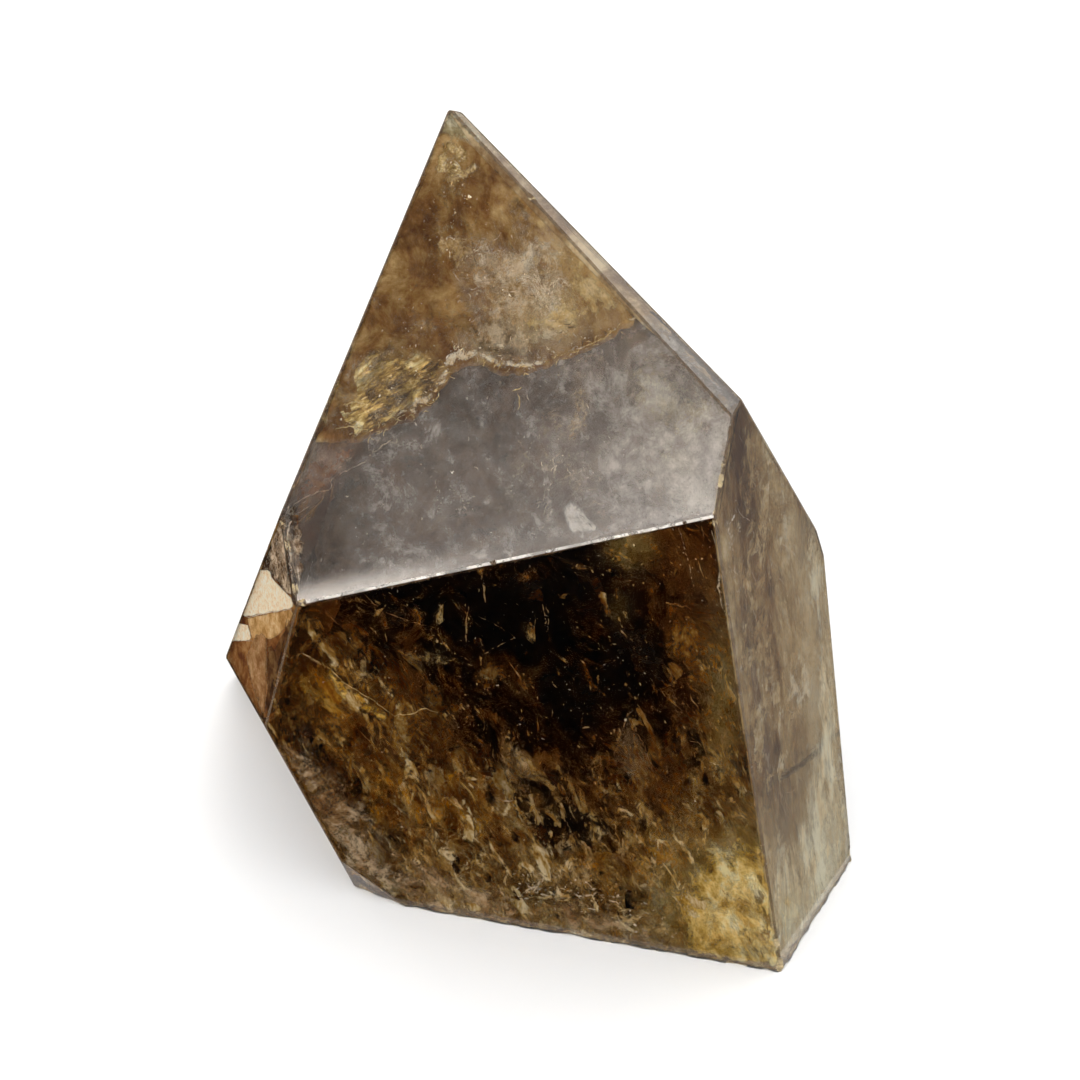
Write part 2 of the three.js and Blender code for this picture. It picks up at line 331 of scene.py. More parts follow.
def veil_material(name, colors, scale=220.0, lo=0.42, hi=0.62, amax=0.9, amin=0.0, rotation=None,
                  stretch=(1, 1, 1), shift=(0, 0, 0), detail=6, rough=0.7, distortion=0.4, color_scale=320.0,
                  through=0.18, glitter=0.0, shine=0.35, bump=0.00006, bump_scale=1800.0,
                  web=0.0, web_scale=260.0, web_width=0.024, web_color=(0.92, 0.78, 0.56), fade=True, clump=0.0, crisp=1.0):
    """A cloudy veil: noise decides where it is dense and which of its colours shows.
    `web` adds fine pale healed cracks, `glitter` is the share of shiny film, and
    `crisp` sharpens the change from one colour to the next."""
    m, N, L = new_mat(name)
    out = N.new("ShaderNodeOutputMaterial")
    vec = object_coords(N, L, rotation, stretch, shift)
    dens = noise_node(N, L, vec, scale, detail, rough, distortion)
    if clump:
        big = math_node(N, L, "SUBTRACT", noise_node(N, L, vec, scale * 0.22, 2, 0.5, 0.3), 0.5)
        dens = math_node(N, L, "ADD", dens, math_node(N, L, "MULTIPLY", big, clump))
    fade_out = None
    if fade:
        at = N.new("ShaderNodeAttribute")
        at.attribute_name = "fade"
        fade_out = at.outputs["Fac"]
        # where the veil fades, less of the noise is dense enough to show
        dens = math_node(N, L, "ADD", dens, math_node(N, L, "MULTIPLY", math_node(N, L, "SUBTRACT", fade_out, 1.0), 0.30))
    alpha = map_range(N, L, dens, lo, hi, amin, amax)
    col = ramp(N, colors)
    vec2 = object_coords(N, L, rotation, stretch, (shift[0] + 3.1, shift[1] + 1.7, shift[2] + 5.3))
    tone = N.new("ShaderNodeAttribute")
    tone.attribute_name = "tone"
    shade = noise_node(N, L, vec2, color_scale, 7, 0.76, 0.3)
    if crisp != 1.0:
        shade = math_node(N, L, "ADD", math_node(N, L, "MULTIPLY", math_node(N, L, "SUBTRACT", shade, 0.5), crisp), 0.5)
    L.new(math_node(N, L, "ADD", shade, tone.outputs["Fac"]), col.inputs["Fac"])
    color = col.outputs["Color"]
    if web:
        # healed cracks: the broken contour lines of two rough noises, one large and one fine
        line = None
        for size, much, thick in ((web_scale, 1.0, 1.0), (web_scale * 2.6, 0.7, 1.4)):
            off = math_node(N, L, "ABSOLUTE", math_node(N, L, "SUBTRACT", noise_node(N, L, vec, size, 8, 0.67, 0.6), 0.5))
            one = map_range(N, L, off, 0.0, web_width * thick, web * much, 0.0, smooth=False)
            line = one if line is None else math_node(N, L, "MAXIMUM", line, one)
        line = math_node(N, L, "MULTIPLY", line, map_range(N, L, dens, lo - 0.05, lo + 0.05, 0.0, 1.0))
        alpha = math_node(N, L, "MAXIMUM", alpha, line)
        mc = N.new("ShaderNodeMixRGB")
        L.new(line, mc.inputs["Fac"])
        L.new(color, mc.inputs[1])
        mc.inputs[2].default_value = (*web_color, 1)
        color = mc.outputs[0]
    if fade_out is not None:
        alpha = math_node(N, L, "MULTIPLY", alpha, math_node(N, L, "MULTIPLY", fade_out, 3.0, clamp=True))
    if glitter:
        skin = N.new("ShaderNodeBsdfPrincipled")
        skin.inputs["Metallic"].default_value = glitter
        skin.inputs["Roughness"].default_value = shine
        L.new(color, skin.inputs["Base Color"])
        if bump:
            bp = N.new("ShaderNodeBump")
            bp.inputs["Distance"].default_value = bump
            L.new(noise_node(N, L, vec, bump_scale, 3, 0.7), bp.inputs["Height"])
            L.new(bp.outputs["Normal"], skin.inputs["Normal"])
    else:
        skin = N.new("ShaderNodeBsdfDiffuse")
        L.new(color, skin.inputs["Color"])
    tran = N.new("ShaderNodeBsdfTranslucent")
    L.new(color, tran.inputs["Color"])
    body = N.new("ShaderNodeMixShader")
    body.inputs["Fac"].default_value = through
    L.new(skin.outputs[0], body.inputs[1])
    L.new(tran.outputs[0], body.inputs[2])
    clear = N.new("ShaderNodeBsdfTransparent")
    mx = N.new("ShaderNodeMixShader")
    L.new(alpha, mx.inputs["Fac"])
    L.new(clear.outputs[0], mx.inputs[1])
    L.new(body.outputs[0], mx.inputs[2])
    L.new(mx.outputs[0], out.inputs["Surface"])
    return m


def flake_material(name, dark, light, metallic=0.75, rough=0.28):
    """Small shiny plates: golden iron-oxide films or silvery fracture glints."""
    m, N, L = new_mat(name)
    out = N.new("ShaderNodeOutputMaterial")
    b = N.new("ShaderNodeBsdfPrincipled")
    vec = object_coords(N, L)
    col = ramp(N, [(0.3, dark), (0.7, light)])
    L.new(noise_node(N, L, vec, 500, 4, 0.6), col.inputs["Fac"])
    L.new(col.outputs["Color"], b.inputs["Base Color"])
    b.inputs["Metallic"].default_value = metallic
    L.new(map_range(N, L, noise_node(N, L, vec, 1200, 3, 0.5), 0.3, 0.7, rough * 0.6, rough * 1.5), b.inputs["Roughness"])
    L.new(b.outputs[0], out.inputs["Surface"])
    return m


def line_material(name, colors, amax=0.85, lo=0.42, hi=0.56):
    """Fine cracks: strips that come and go."""
    return veil_material(name, colors, scale=1500, lo=lo, hi=hi, amax=amax, amin=0.0, color_scale=1500, fade=False)


def solid_material(name, colors, scale=600.0, through=0.35):
    m, N, L = new_mat(name)
    out = N.new("ShaderNodeOutputMaterial")
    vec = object_coords(N, L)
    col = ramp(N, colors)
    L.new(noise_node(N, L, vec, scale, 6, 0.65), col.inputs["Fac"])
    diff = N.new("ShaderNodeBsdfDiffuse")
    tran = N.new("ShaderNodeBsdfTranslucent")
    L.new(col.outputs["Color"], diff.inputs["Color"])
    L.new(col.outputs["Color"], tran.inputs["Color"])
    body = N.new("ShaderNodeMixShader")
    body.inputs["Fac"].default_value = through
    L.new(diff.outputs[0], body.inputs[1])
    L.new(tran.outputs[0], body.inputs[2])
    L.new(body.outputs[0], out.inputs["Surface"])
    return m


# ------------------------------------------------------------------ mesh helpers
def add_piece(name, verts, faces, mats, fade=None, mat_index=None, smooth=False, tone=None):
    me = bpy.data.meshes.new(name)
    me.from_pydata([tuple(v) for v in verts], [], [tuple(int(i) for i in f) for f in faces])
    me.validate()
    if fade is not None:
        a = me.attributes.new("fade", "FLOAT", "POINT")
        a.data.foreach_set("value", np.asarray(fade, np.float32))
    if tone is not None:
        a = me.attributes.new("tone", "FLOAT", "POINT")
        a.data.foreach_set("value", np.asarray(tone, np.float32))
    for m in mats if isinstance(mats, (list, tuple)) else [mats]:
        me.materials.append(m)
    if mat_index is not None:
        me.polygons.foreach_set("material_index", np.asarray(mat_index, np.int32))
    if smooth:
        me.polygons.foreach_set("use_smooth", np.ones(len(me.polygons), bool))
    me.update()
    o = bpy.data.objects.new(name, me)
    SC.collection.objects.link(o)
    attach(o, "root")
    return o


def polygon_grid(poly, step, rng, jitter=0.3):
    """A fine triangle mesh that fills a polygon of pixels."""
    poly = np.asarray(poly, float)
    ring = []
    for a, b in zip(poly, np.roll(poly, -1, 0)):
        k = max(1, int(round(np.linalg.norm(b - a) / step)))
        for i in range(k):
            ring.append(a + (b - a) * i / k)
    ring = np.array(ring)
    lo, hi = poly.min(0), poly.max(0)
    xs, ys = np.meshgrid(np.arange(lo[0], hi[0], step), np.arange(lo[1], hi[1], step))
    g = np.column_stack([xs.ravel(), ys.ravel()])
    g += rng.uniform(-jitter, jitter, g.shape) * step
    inside = point_in(g, poly)
    dist = edge_distance(g, poly)
    g = g[inside & (dist > step * 0.55)]
    verts = [Vector(p) for p in ring] + [Vector(p) for p in g]
    edges = [(i, (i + 1) % len(ring)) for i in range(len(ring))]
    v, e, f, *_ = delaunay_2d_cdt(verts, edges, [], 1, 1e-4)
    v = np.array([tuple(p) for p in v])
    # only triangles whose middle is in the polygon
    tri = np.array([t for t in f if len(t) == 3])
    return v, tri[point_in(v[tri].mean(1), poly)]


def point_in(p, poly):
    p = np.atleast_2d(p)
    inside = np.zeros(len(p), bool)
    for (x1, y1), (x2, y2) in zip(poly, np.roll(poly, -1, 0)):
        c = (y1 > p[:, 1]) != (y2 > p[:, 1])
        with np.errstate(divide="ignore", invalid="ignore"):
            xi = (x2 - x1) * (p[:, 1] - y1) / (y2 - y1) + x1
        inside ^= c & (p[:, 0] < xi)
    return inside


def edge_distance(p, poly):
    d = np.full(len(p), 1e9)
    for a, b in zip(poly, np.roll(poly, -1, 0)):
        ab = b - a
        t = np.clip(((p - a) @ ab) / max(ab @ ab, 1e-9), 0, 1)
        d = np.minimum(d, np.linalg.norm(p - (a + t[:, None] * ab), axis=1))
    return d


def wave(p, freq, seed, octaves=3):
    """Smooth waviness of a veil over the picture plane, about -1 to 1."""
    return np.array([noise.fractal(Vector((x * freq, y * freq, seed * 7.3)), 0.6, 2.1, octaves) for x, y in p]) * 1.4


def view_veil(name, poly, facet, depth, amp, mat, seed, step=6.0, freq=0.02, edge=14.0, density=None, ragged=0.0, tone=None,
              rim=None, rim_px=60.0, deep=0.0):
    """A wavy veil beneath one facet that fills a polygon as the camera sees it."""
    rng = np.random.default_rng(seed)
    poly = np.asarray(poly, float)
    if ragged:
        poly = roughen(poly, ragged, rng)
    v, f = polygon_grid(poly, step, rng)
    d = depth + amp * wave(v, freq, seed)
    if rim is not None:     # the veil rises to the surface towards the facet's own rim
        d = d * np.clip(np.where(point_in(v, rim), edge_distance(v, rim), 0.0) / rim_px, 0.12, 1.0)
    pts = seen(v, facet, np.maximum(d, 0.22))
    if deep:                # leave out what would come close to a facet that faces away
        hidden = [NAMES.index(k) for k in NAMES if k not in ("front_prism", "right_prism", "front_slope", "left_notch", "crest", "foot_corner", "base")]
        gap = (PD[hidden] - pts @ PN[hidden].T).min(1)
        near_own = PD[NAMES.index(facet)] - pts @ PN[NAMES.index(facet)] < 1.5 * MM
        ok = (gap > deep * MM) | near_own
        f = f[ok[f].all(1)]
        used = np.unique(f)
        remap = np.full(len(v), -1)
        remap[used] = np.arange(len(used))
        v, pts, f = v[used], pts[used], remap[f]
    fade = np.clip(edge_distance(v, poly) / max(edge, 0.01), 0.0, 1.0) if edge else np.ones(len(v))
    if density is not None:
        fade = fade * density(v)
    return add_piece(name, pts, f, mat, fade=np.clip(fade, 0, 1), smooth=True, tone=tone(v) if tone else None)


def facet_outline(facet):
    """The corners of one facet, from the half spaces of all the others."""
    k = NAMES.index(facet)
    n, d = PN[k], PD[k]
    u = unit(np.cross(n, [0.0, 0.0, 1.0] if abs(n[2]) < 0.9 else [0.0, 1.0, 0.0]))
    w_ = np.cross(n, u)
    poly = np.array([[-1, -1], [1, -1], [1, 1], [-1, 1]]) * 0.2
    for j in range(len(PD)):
        if j == k:
            continue
        a, b, c = PN[j] @ u, PN[j] @ w_, PD[j] - PN[j] @ n * d
        out = []
        for p, q in zip(poly, np.roll(poly, -1, 0)):
            fp, fq = a * p[0] + b * p[1] - c, a * q[0] + b * q[1] - c
            if fp <= 0:
                out.append(p)
            if fp * fq < 0:
                out.append(p + (q - p) * fp / (fp - fq))
        poly = np.array(out)
        if len(poly) < 3:
            return None, n, d, u, w_
    return poly, n, d, u, w_


def facet_veil(name, facet, depth, amp, mat, seed, step=1.0, density=0.35):
    """A wavy veil that lies beneath the whole of one facet. Sizes in mm."""
    poly, n, d, u, w_ = facet_outline(facet)
    rng = np.random.default_rng(seed)
    v, f = polygon_grid(poly / MM, step, rng)
    dd = (depth + amp * wave(v, 0.09, seed)) * np.clip(edge_distance(v, poly / MM) / (depth * 1.6), 0.08, 1.0) * MM
    pts = v[:, :1] * MM * u + v[:, 1:] * MM * w_ + n * (d - np.maximum(dd, 0.22 * MM))[:, None]
    fade = np.clip(0.80 + density * wave(v, 0.07, seed + 50), 0.25, 1)
    return add_piece(name, keep_inside(pts), f, mat, fade=fade, smooth=True, tone=0.16 * wave(v, 0.055, seed + 90) - 0.05)


def roughen(poly, size, rng, step=5.0, rounds=1):
    """Breaks a polygon's outline into small irregular teeth."""
    out = []
    for a, b in zip(poly, np.roll(poly, -1, 0)):
        n = np.array([-(b - a)[1], (b - a)[0]])
        ln = np.linalg.norm(n)
        if ln < 1e-6:
            continue
        n /= ln
        k = max(1, int(ln / step))
        for i in range(k):
            out.append(a + (b - a) * i / k + n * rng.uniform(-1, 1) * size)
    return np.array(out)


def ribbons(name, lines, facet, mat, seed, taper=True, lean=0.5):
    """Thin strips along polylines of pixels: healed cracks seen edge on.
    Each line is (points, width in mm, depth in mm)."""
    rng = np.random.default_rng(seed)
    V, F = [], []
    for pts, width, depth in lines:
        pts = np.asarray(pts, float)
        seg = np.linalg.norm(np.diff(pts, axis=0), axis=1)
        s = np.concatenate([[0], np.cumsum(seg)])
        k = max(3, int(s[-1] / 3.0))
        u = np.linspace(0, s[-1], k)
        c = np.column_stack([np.interp(u, s, pts[:, 0]), np.interp(u, s, pts[:, 1])])
        c += rng.normal(0, 0.5, c.shape)
        dd = depth + rng.normal(0, 0.06, k)
        P = seen(c, facet, dd)
        tangent = unit(np.gradient(P, axis=0))
        toward = unit(CAM[None] - P)
        side = unit(np.cross(tangent, toward))
        blade = unit(side * (1 - lean) + toward * lean * rng.choice([-1, 1]))
        w = width * MM * (0.5 + rng.random(k)) / 2
        if taper:
            w *= np.sin(np.linspace(0.12, math.pi - 0.12, k)) ** 0.6
        a, b = keep_inside(P - blade * w[:, None]), keep_inside(P + blade * w[:, None])
        base = len(V)
        for i in range(k):
            V.append(a[i])
            V.append(b[i])
        for i in range(k - 1):
            q = base + 2 * i
            F.append((q, q + 1, q + 3, q + 2))
    return add_piece(name, V, F, mat)


def flakes_at(centres, sizes, rng, normals=None, spread=1.0, thin=0.35, along=None):
    """Small irregular plates. Returns vertices and faces."""
    V, F = [], []
    n = len(centres)
    rand = unit(rng.normal(size=(n, 3)))
    if normals is not None:
        rand = unit(normals * (1 - spread) + rand * spread)
    ref = unit(rng.normal(size=(n, 3)))
    if along is not None:
        ref = unit(along[None] + ref * 0.35)
    x = unit(ref - rand * np.sum(ref * rand, 1, keepdims=True))
    y = np.cross(rand, x)
    for i in range(n):
        k = rng.integers(3, 6)
        ang = np.sort(rng.uniform(0, 2 * math.pi, k))
        r = rng.uniform(0.55, 1.0, k)
        s = sizes[i]
        base = len(V)
        for a, q in zip(ang, r):
            V.append(centres[i] + x[i] * math.cos(a) * q * s + y[i] * math.sin(a) * q * s * thin)
        F.append(tuple(range(base, base + k)))
    return np.array(V), F


def px_scatter(poly, n, rng, power=None):
    poly = np.asarray(poly, float)
    lo, hi = poly.min(0), poly.max(0)
    out = []
    while len(out) < n:
        p = rng.uniform(lo, hi, (n * 2, 2))
        ok = point_in(p, poly)
        if power is not None:
            ok &= rng.random(len(p)) < power(p)
        out.extend(p[ok].tolist())
    return np.array(out[:n])


def flakes(name, poly, facet, n, depth, size, mat, seed, spread=1.0, thin=0.35, along_px=None, power=None):
    """Plates scattered beneath one facet in a polygon of pixels. depth and size are (low, high) in mm."""
    rng = np.random.default_rng(seed)
    p = px_scatter(poly, n, rng, power)
    d = rng.uniform(*depth, n)
    c = seen(p, facet, d, margin=0.6 * MM)
    s = size[0] * (size[1] / size[0]) ** (rng.random(n) ** 1.6) * MM
    nrm = np.tile(PN[NAMES.index(facet)], (n, 1))
    along = None
    if along_px is not None:
        (a, b) = along_px
        q = seen(np.array([a, b]), facet, np.mean(depth))
        along = unit(q[1] - q[0])
    V, F = flakes_at(c, s, rng, nrm, spread, thin, along)
    return add_piece(name, keep_inside(V, 0.25 * MM), F, mat)


def curls(name, poly, facet, n, length, width, depth, mat, seed, turn=2.2, along=None, spread=math.pi, power=None, lean=0.35):
    """Short curved hair cracks scattered in a polygon of pixels. length in pixels, width and
    depth in mm, each as (low, high); along and spread in degrees and radians."""
    rng = np.random.default_rng(seed)
    k = 7
    at = px_scatter(poly, n, rng, power)
    heading = rng.uniform(-spread, spread, n)
    if along is not None:
        heading += math.radians(along) + math.pi * rng.integers(0, 2, n)
    bend = rng.normal(0, turn, n) / (k - 1)
    ln = length[0] * (length[1] / length[0]) ** rng.random(n)
    pts = np.zeros((n, k, 2))
    pts[:, 0] = at
    for j in range(1, k):
        pts[:, j] = pts[:, j - 1] + np.column_stack([np.cos(heading), np.sin(heading)]) * (ln / (k - 1))[:, None]
        heading = heading + bend + rng.normal(0, 0.25, n)
    pts -= (pts.mean(1) - at)[:, None]
    d = rng.uniform(*depth, n)[:, None] + 0.05 * rng.normal(size=(n, k))
    P = seen(pts.reshape(-1, 2), facet, np.maximum(d, 0.25).ravel()).reshape(n, k, 3)
    toward = unit(CAM - P)
    side = unit(np.cross(unit(np.gradient(P, axis=1)), toward))
    blade = unit(side * (1 - lean) + toward * lean * rng.choice([-1, 1], n)[:, None, None])
    w = (width[0] * (width[1] / width[0]) ** rng.random(n))[:, None] * np.sin(np.linspace(0.15, math.pi - 0.15, k))[None] ** 0.7
    w = (w * rng.uniform(0.6, 1.3, (n, k)) * MM / 2)[..., None]
    a = keep_inside((P - blade * w).reshape(-1, 3)).reshape(n, k, 1, 3)
    b = keep_inside((P + blade * w).reshape(-1, 3)).reshape(n, k, 1, 3)
    V = np.concatenate([a, b], axis=2).reshape(-1, 3)
    F = [(q, q + 1, q + 3, q + 2) for i in range(n) for q in range(2 * k * i, 2 * k * i + 2 * (k - 1), 2)]
    return add_piece(name, V, F, mat)


def films(name, poly, facet, n, depth, size, mat, seed, spread=0.5, thin=(0.25, 0.7), along_px=None, power=None, tones=0.10, tone=None):
    """Healed fracture films: irregular plates, each with a shade of its own, sharp on one
    side and fading out on the other. depth and size are (low, high) in mm."""
    rng = np.random.default_rng(seed)
    p = px_scatter(poly, n, rng, power)
    c = seen(p, facet, rng.uniform(*depth, n), margin=0.5 * MM)
    s = size[0] * (size[1] / size[0]) ** (rng.random(n) ** 1.4) * MM
    nrm = unit(np.tile(PN[NAMES.index(facet)], (n, 1)) * (1 - spread) + unit(rng.normal(size=(n, 3))) * spread)
    ref = unit(rng.normal(size=(n, 3)))
    if along_px is not None:
        q = seen(np.array(along_px), facet, np.mean(depth))
        ref = unit(unit(q[1] - q[0])[None] + ref * 0.6)
    x = unit(ref - nrm * np.sum(ref * nrm, 1, keepdims=True))
    y = np.cross(nrm, x)
    own = rng.normal(0, tones, n) + (tone(p) if tone else 0.0)
    slim = rng.uniform(*thin, n)
    V, F, fade, shade = [], [], [], []
    for i in range(n):
        k = int(rng.integers(6, 11))
        ang = np.sort(rng.uniform(0, 2 * math.pi, k))
        r = rng.uniform(0.45, 1.0, k) * s[i]
        sharp = rng.uniform(0, 2 * math.pi)
        base = len(V)
        V.append(c[i])
        fade.append(0.8)
        for a, q in zip(ang, r):
            V.append(c[i] + x[i] * math.cos(a) * q + y[i] * math.sin(a) * q * slim[i])
            fade.append(min(1.0, max(0.0, 0.5 + 0.75 * math.cos(a - sharp))))
        shade += [own[i]] * (k + 1)
        F += [(base, base + 1 + j, base + 1 + (j + 1) % k) for j in range(k)]
    return add_piece(name, keep_inside(np.array(V), 0.25 * MM), F, mat, fade=fade, tone=shade)


def fleck_groups(name, groups, facet, depth, size, mat, seed, spread=0.7, thin=0.6):
    """Tight groups of tiny bright plates. Each group is (x, y, radius in px, how many)."""
    rng = np.random.default_rng(seed)
    p = np.vstack([rng.normal((x, y), r, (k, 2)) for x, y, r, k in groups])
    c = seen(p, facet, rng.uniform(*depth, len(p)), margin=0.4 * MM)
    s = size[0] * (size[1] / size[0]) ** (rng.random(len(p)) ** 1.4) * MM
    V, F = flakes_at(c, s, rng, np.tile(PN[NAMES.index(facet)], (len(p), 1)), spread, thin)
    return add_piece(name, keep_inside(V, 0.25 * MM), F, mat)


def ridge_strip(a, b, reach=(1.2, 1.2), depth=0.20, step=0.6, seed=1, density=None):
    """A strip wrapped round the inside of the ridge between two facets: dense at the
    ridge and gone at its sides. Sizes in mm. None where the facets share no ridge."""
    ia, ib = NAMES.index(a), NAMES.index(b)
    na, nb = PN[ia], PN[ib]
    run = np.cross(na, nb)
    if np.linalg.norm(run) < math.sin(math.radians(7)):
        return None
    run = unit(run)
    at = np.linalg.solve(np.array([na, nb, run]), [PD[ia], PD[ib], 0.0])
    lo, hi = -1.0, 1.0
    for j in range(len(PD)):
        if j in (ia, ib):
            continue
        c, r = PN[j] @ run, PD[j] - PN[j] @ at
        if c > 1e-9:
            hi = min(hi, r / c)
        elif c < -1e-9:
            lo = max(lo, r / c)
        elif r < 0:
            return None
    if hi - lo < 1.5 * MM:
        return None
    ta, tb = unit(np.cross(run, na)), unit(np.cross(run, nb))
    ta = -ta if ta @ nb > 0 else ta
    tb = -tb if tb @ na > 0 else tb
    x = np.linspace(lo, hi, max(3, int((hi - lo) / (step * MM))))
    t = np.linspace(-1, 1, 9)
    wide = 1 + 0.45 * wave(np.column_stack([x / MM, np.zeros(len(x))]), 0.35, seed)
    X, T = np.meshgrid(x, t, indexing="ij")
    W = np.repeat(wide[:, None], len(t), 1)
    left = (T < 0)[..., None]
    off = np.abs(T)[..., None] * W[..., None] * MM * np.where(left, reach[0] * ta, reach[1] * tb)
    V = (at + X[..., None] * run + off - np.where(left, na, nb) * depth * MM).reshape(-1, 3)
    V = keep_inside(V, margin=depth * MM * 0.9)
    fade = np.clip(1.25 * (1 - np.abs(T).ravel() ** 1.6), 0, 1)
    if density is not None:
        fade = fade * density(to_px(V))
    m = len(t)
    F = [(i * m + j, (i + 1) * m + j, (i + 1) * m + j + 1, i * m + j + 1) for i in range(len(x) - 1) for j in range(m - 1)]
    return V, F, fade


def ridge_veil(name, mat, strips):
    """One piece made of several ridge strips."""
    V, F, fade, base = [], [], [], 0
    for s in strips:
        if s is None:
            continue
        V.append(s[0])
        F += [tuple(base + i for i in f) for f in s[1]]
        fade.append(s[2])
        base += len(s[0])
    return add_piece(name, np.vstack(V), F, mat, fade=np.concatenate(fade), smooth=True)


def gauss(p, cx, cy, sx, sy, rot=0.0):
    a = math.radians(rot)
    x, y = p[:, 0] - cx, p[:, 1] - cy
    u = (x * math.cos(a) + y * math.sin(a)) / sx
    v = (-x * math.sin(a) + y * math.cos(a)) / sy
    return np.exp(-0.5 * (u * u + v * v))


def bumps(p, *spots):
    """A sum of soft spots in the picture: (x, y, width, height, amount[, turn])."""
    return sum(a[4] * gauss(p, a[0], a[1], a[2], a[3], a[5] if len(a) > 5 else 0.0) for a in spots)


# ------------------------------------------------------------------ outlines in the picture
F1_ALL = [(449, 110), (458, 124), (474, 144), (533, 208), (601, 272), (640, 318), (722, 404), (713, 512),
          (296, 602), (284, 512), (314, 437), (380, 269), (431, 146)]
JAG = [(314, 436), (336, 437), (359, 437), (376, 428), (387, 426), (399, 419), (412, 417), (421, 408), (433, 402),
       (439, 388), (447, 380), (452, 370), (461, 363), (470, 361), (481, 360), (492, 366), (503, 371), (515, 369),
       (526, 371), (537, 366), (549, 363), (560, 355), (570, 353), (582, 348), (593, 344), (604, 337), (615, 332),
       (622, 323), (632, 322), (640, 317)]
F1_UPPER = JAG + [(601, 272), (533, 208), (474, 144), (458, 124), (449, 110), (431, 146), (380, 269)]
F1_LOWER = [(280, 512), (310, 437)] + JAG[1:] + [(654, 306), (744, 394), (720, 516), (290, 608)]
P1_ALL = [(290, 600), (717, 512), (786, 972), (640, 952), (410, 912), (356, 888), (258, 726)]
R_ALL = [(714, 514), (734, 396), (744, 392), (818, 508), (832, 545), (860, 852), (780, 972)]
L_ALL = [(290, 505), (298, 601), (267, 728), (224, 656)]
CREST = [(444, 104), (458, 102), (750, 392), (738, 404), (640, 322), (533, 213), (470, 146)]

F1_RIM = np.array([(449, 110), (458, 124), (533, 208), (640, 318), (736, 398), (717, 517), (296, 602), (284, 512), (380, 269)], float)
P1_RIM = np.array([(296, 602), (717, 517), (782, 968), (640, 945), (410, 905), (366, 888), (266, 726)], float)
R_RIM = np.array([(717, 517), (736, 398), (812, 512), (826, 545), (853, 852), (782, 967)], float)

# --- beneath the front slope, above the jagged line
view_veil("veil_upper_brown", [(x, y + 7) for x, y in JAG] + F1_UPPER[len(JAG):], "front_slope", 3.2, 1.0, veil_material(
    "veil_brown", [(0.3, (0.12, 0.048, 0.013)), (0.44, (0.27, 0.13, 0.040)), (0.54, (0.41, 0.24, 0.085)), (0.64, (0.59, 0.40, 0.165)), (0.76, (0.88, 0.68, 0.36))],
    scale=260, lo=0.25, hi=0.55, amax=0.98, amin=0.72, color_scale=300, crisp=1.25), 11, rim=F1_RIM, edge=2,
    tone=lambda p: bumps(p, (405, 250, 26, 70, -0.06), (393, 285, 9, 11, 0.16), (455, 130, 25, 26, 0.08), (430, 220, 14, 16, -0.12),
                         (470, 190, 30, 30, 0.03), (540, 290, 60, 50, 0.10), (318, 425, 30, 12, -0.05), (365, 335, 20, 14, 0.04)))
view_veil("veil_upper_film", F1_UPPER, "front_slope", 1.7, 0.5, veil_material(
    "veil_brown_film", [(0.42, (0.36, 0.22, 0.07)), (0.50, (0.60, 0.42, 0.17)), (0.58, (0.96, 0.78, 0.42))],
    scale=420, lo=0.50, hi=0.59, amax=0.8, color_scale=900, web=0.55, web_scale=330, web_width=0.018, clump=0.5, rough=0.82, detail=8), 14, edge=12,
    density=lambda p: 0.50 + np.clip(bumps(p, (462, 160, 26, 26, 0.5), (560, 290, 60, 60, 0.45), (440, 235, 22, 30, 0.45), (400, 400, 60, 30, 0.45), (450, 330, 18, 20, 0.4)), 0, 0.5))
# a greyish film that dulls the brown, in soft blotches
view_veil("veil_upper_grey", F1_UPPER, "front_slope", 0.9, 0.2, veil_material(
    "veil_upper_grey", [(0.42, (0.13, 0.09, 0.05)), (0.49, (0.34, 0.26, 0.16)), (0.57, (0.68, 0.58, 0.42))], scale=260, lo=0.45, hi=0.62, amax=0.6,
    amin=0.05, color_scale=560, clump=0.7, rough=0.82, detail=8), 17, edge=6, rim=F1_RIM,
    density=lambda p: 0.60 + bumps(p, (455, 120, 16, 24, 0.3), (425, 215, 20, 18, 0.35), (490, 200, 26, 34, 0.25), (470, 330, 40, 20, 0.2), (590, 300, 30, 30, -0.2), (393, 285, 14, 16, -0.4)),
    tone=lambda p: bumps(p, (424, 216, 16, 14, -0.05)))
# the tip: pale greenish grey at the point, crumbled gold below it
view_veil("veil_tip_grey", [(446, 106), (462, 108), (480, 130), (494, 150), (478, 150), (462, 142), (452, 138), (438, 134)], "front_slope", 0.8, 0.1, veil_material(
    "veil_tip_grey", [(0.42, (0.46, 0.38, 0.20)), (0.50, (0.70, 0.64, 0.42)), (0.58, (0.95, 0.92, 0.70))], scale=420, lo=0.36, hi=0.56, amax=0.85, amin=0.25,
    color_scale=620, rough=0.8), 18, step=3, edge=7, ragged=2, rim=F1_RIM)
view_veil("veil_tip_gold", [(436, 134), (452, 130), (466, 138), (478, 152), (488, 170), (474, 182), (456, 188), (436, 180), (424, 172)], "front_slope", 1.1, 0.3, veil_material(
    "veil_tip_gold", [(0.40, (0.16, 0.09, 0.02)), (0.47, (0.44, 0.30, 0.10)), (0.53, (0.84, 0.66, 0.30)), (0.59, (1, 0.94, 0.70))], scale=620, lo=0.46, hi=0.54, amax=0.9,
    amin=0.0, color_scale=800, web=0.6, web_scale=420, web_width=0.02, rough=0.82, detail=8), 19, step=4, edge=10, ragged=3, rim=F1_RIM)
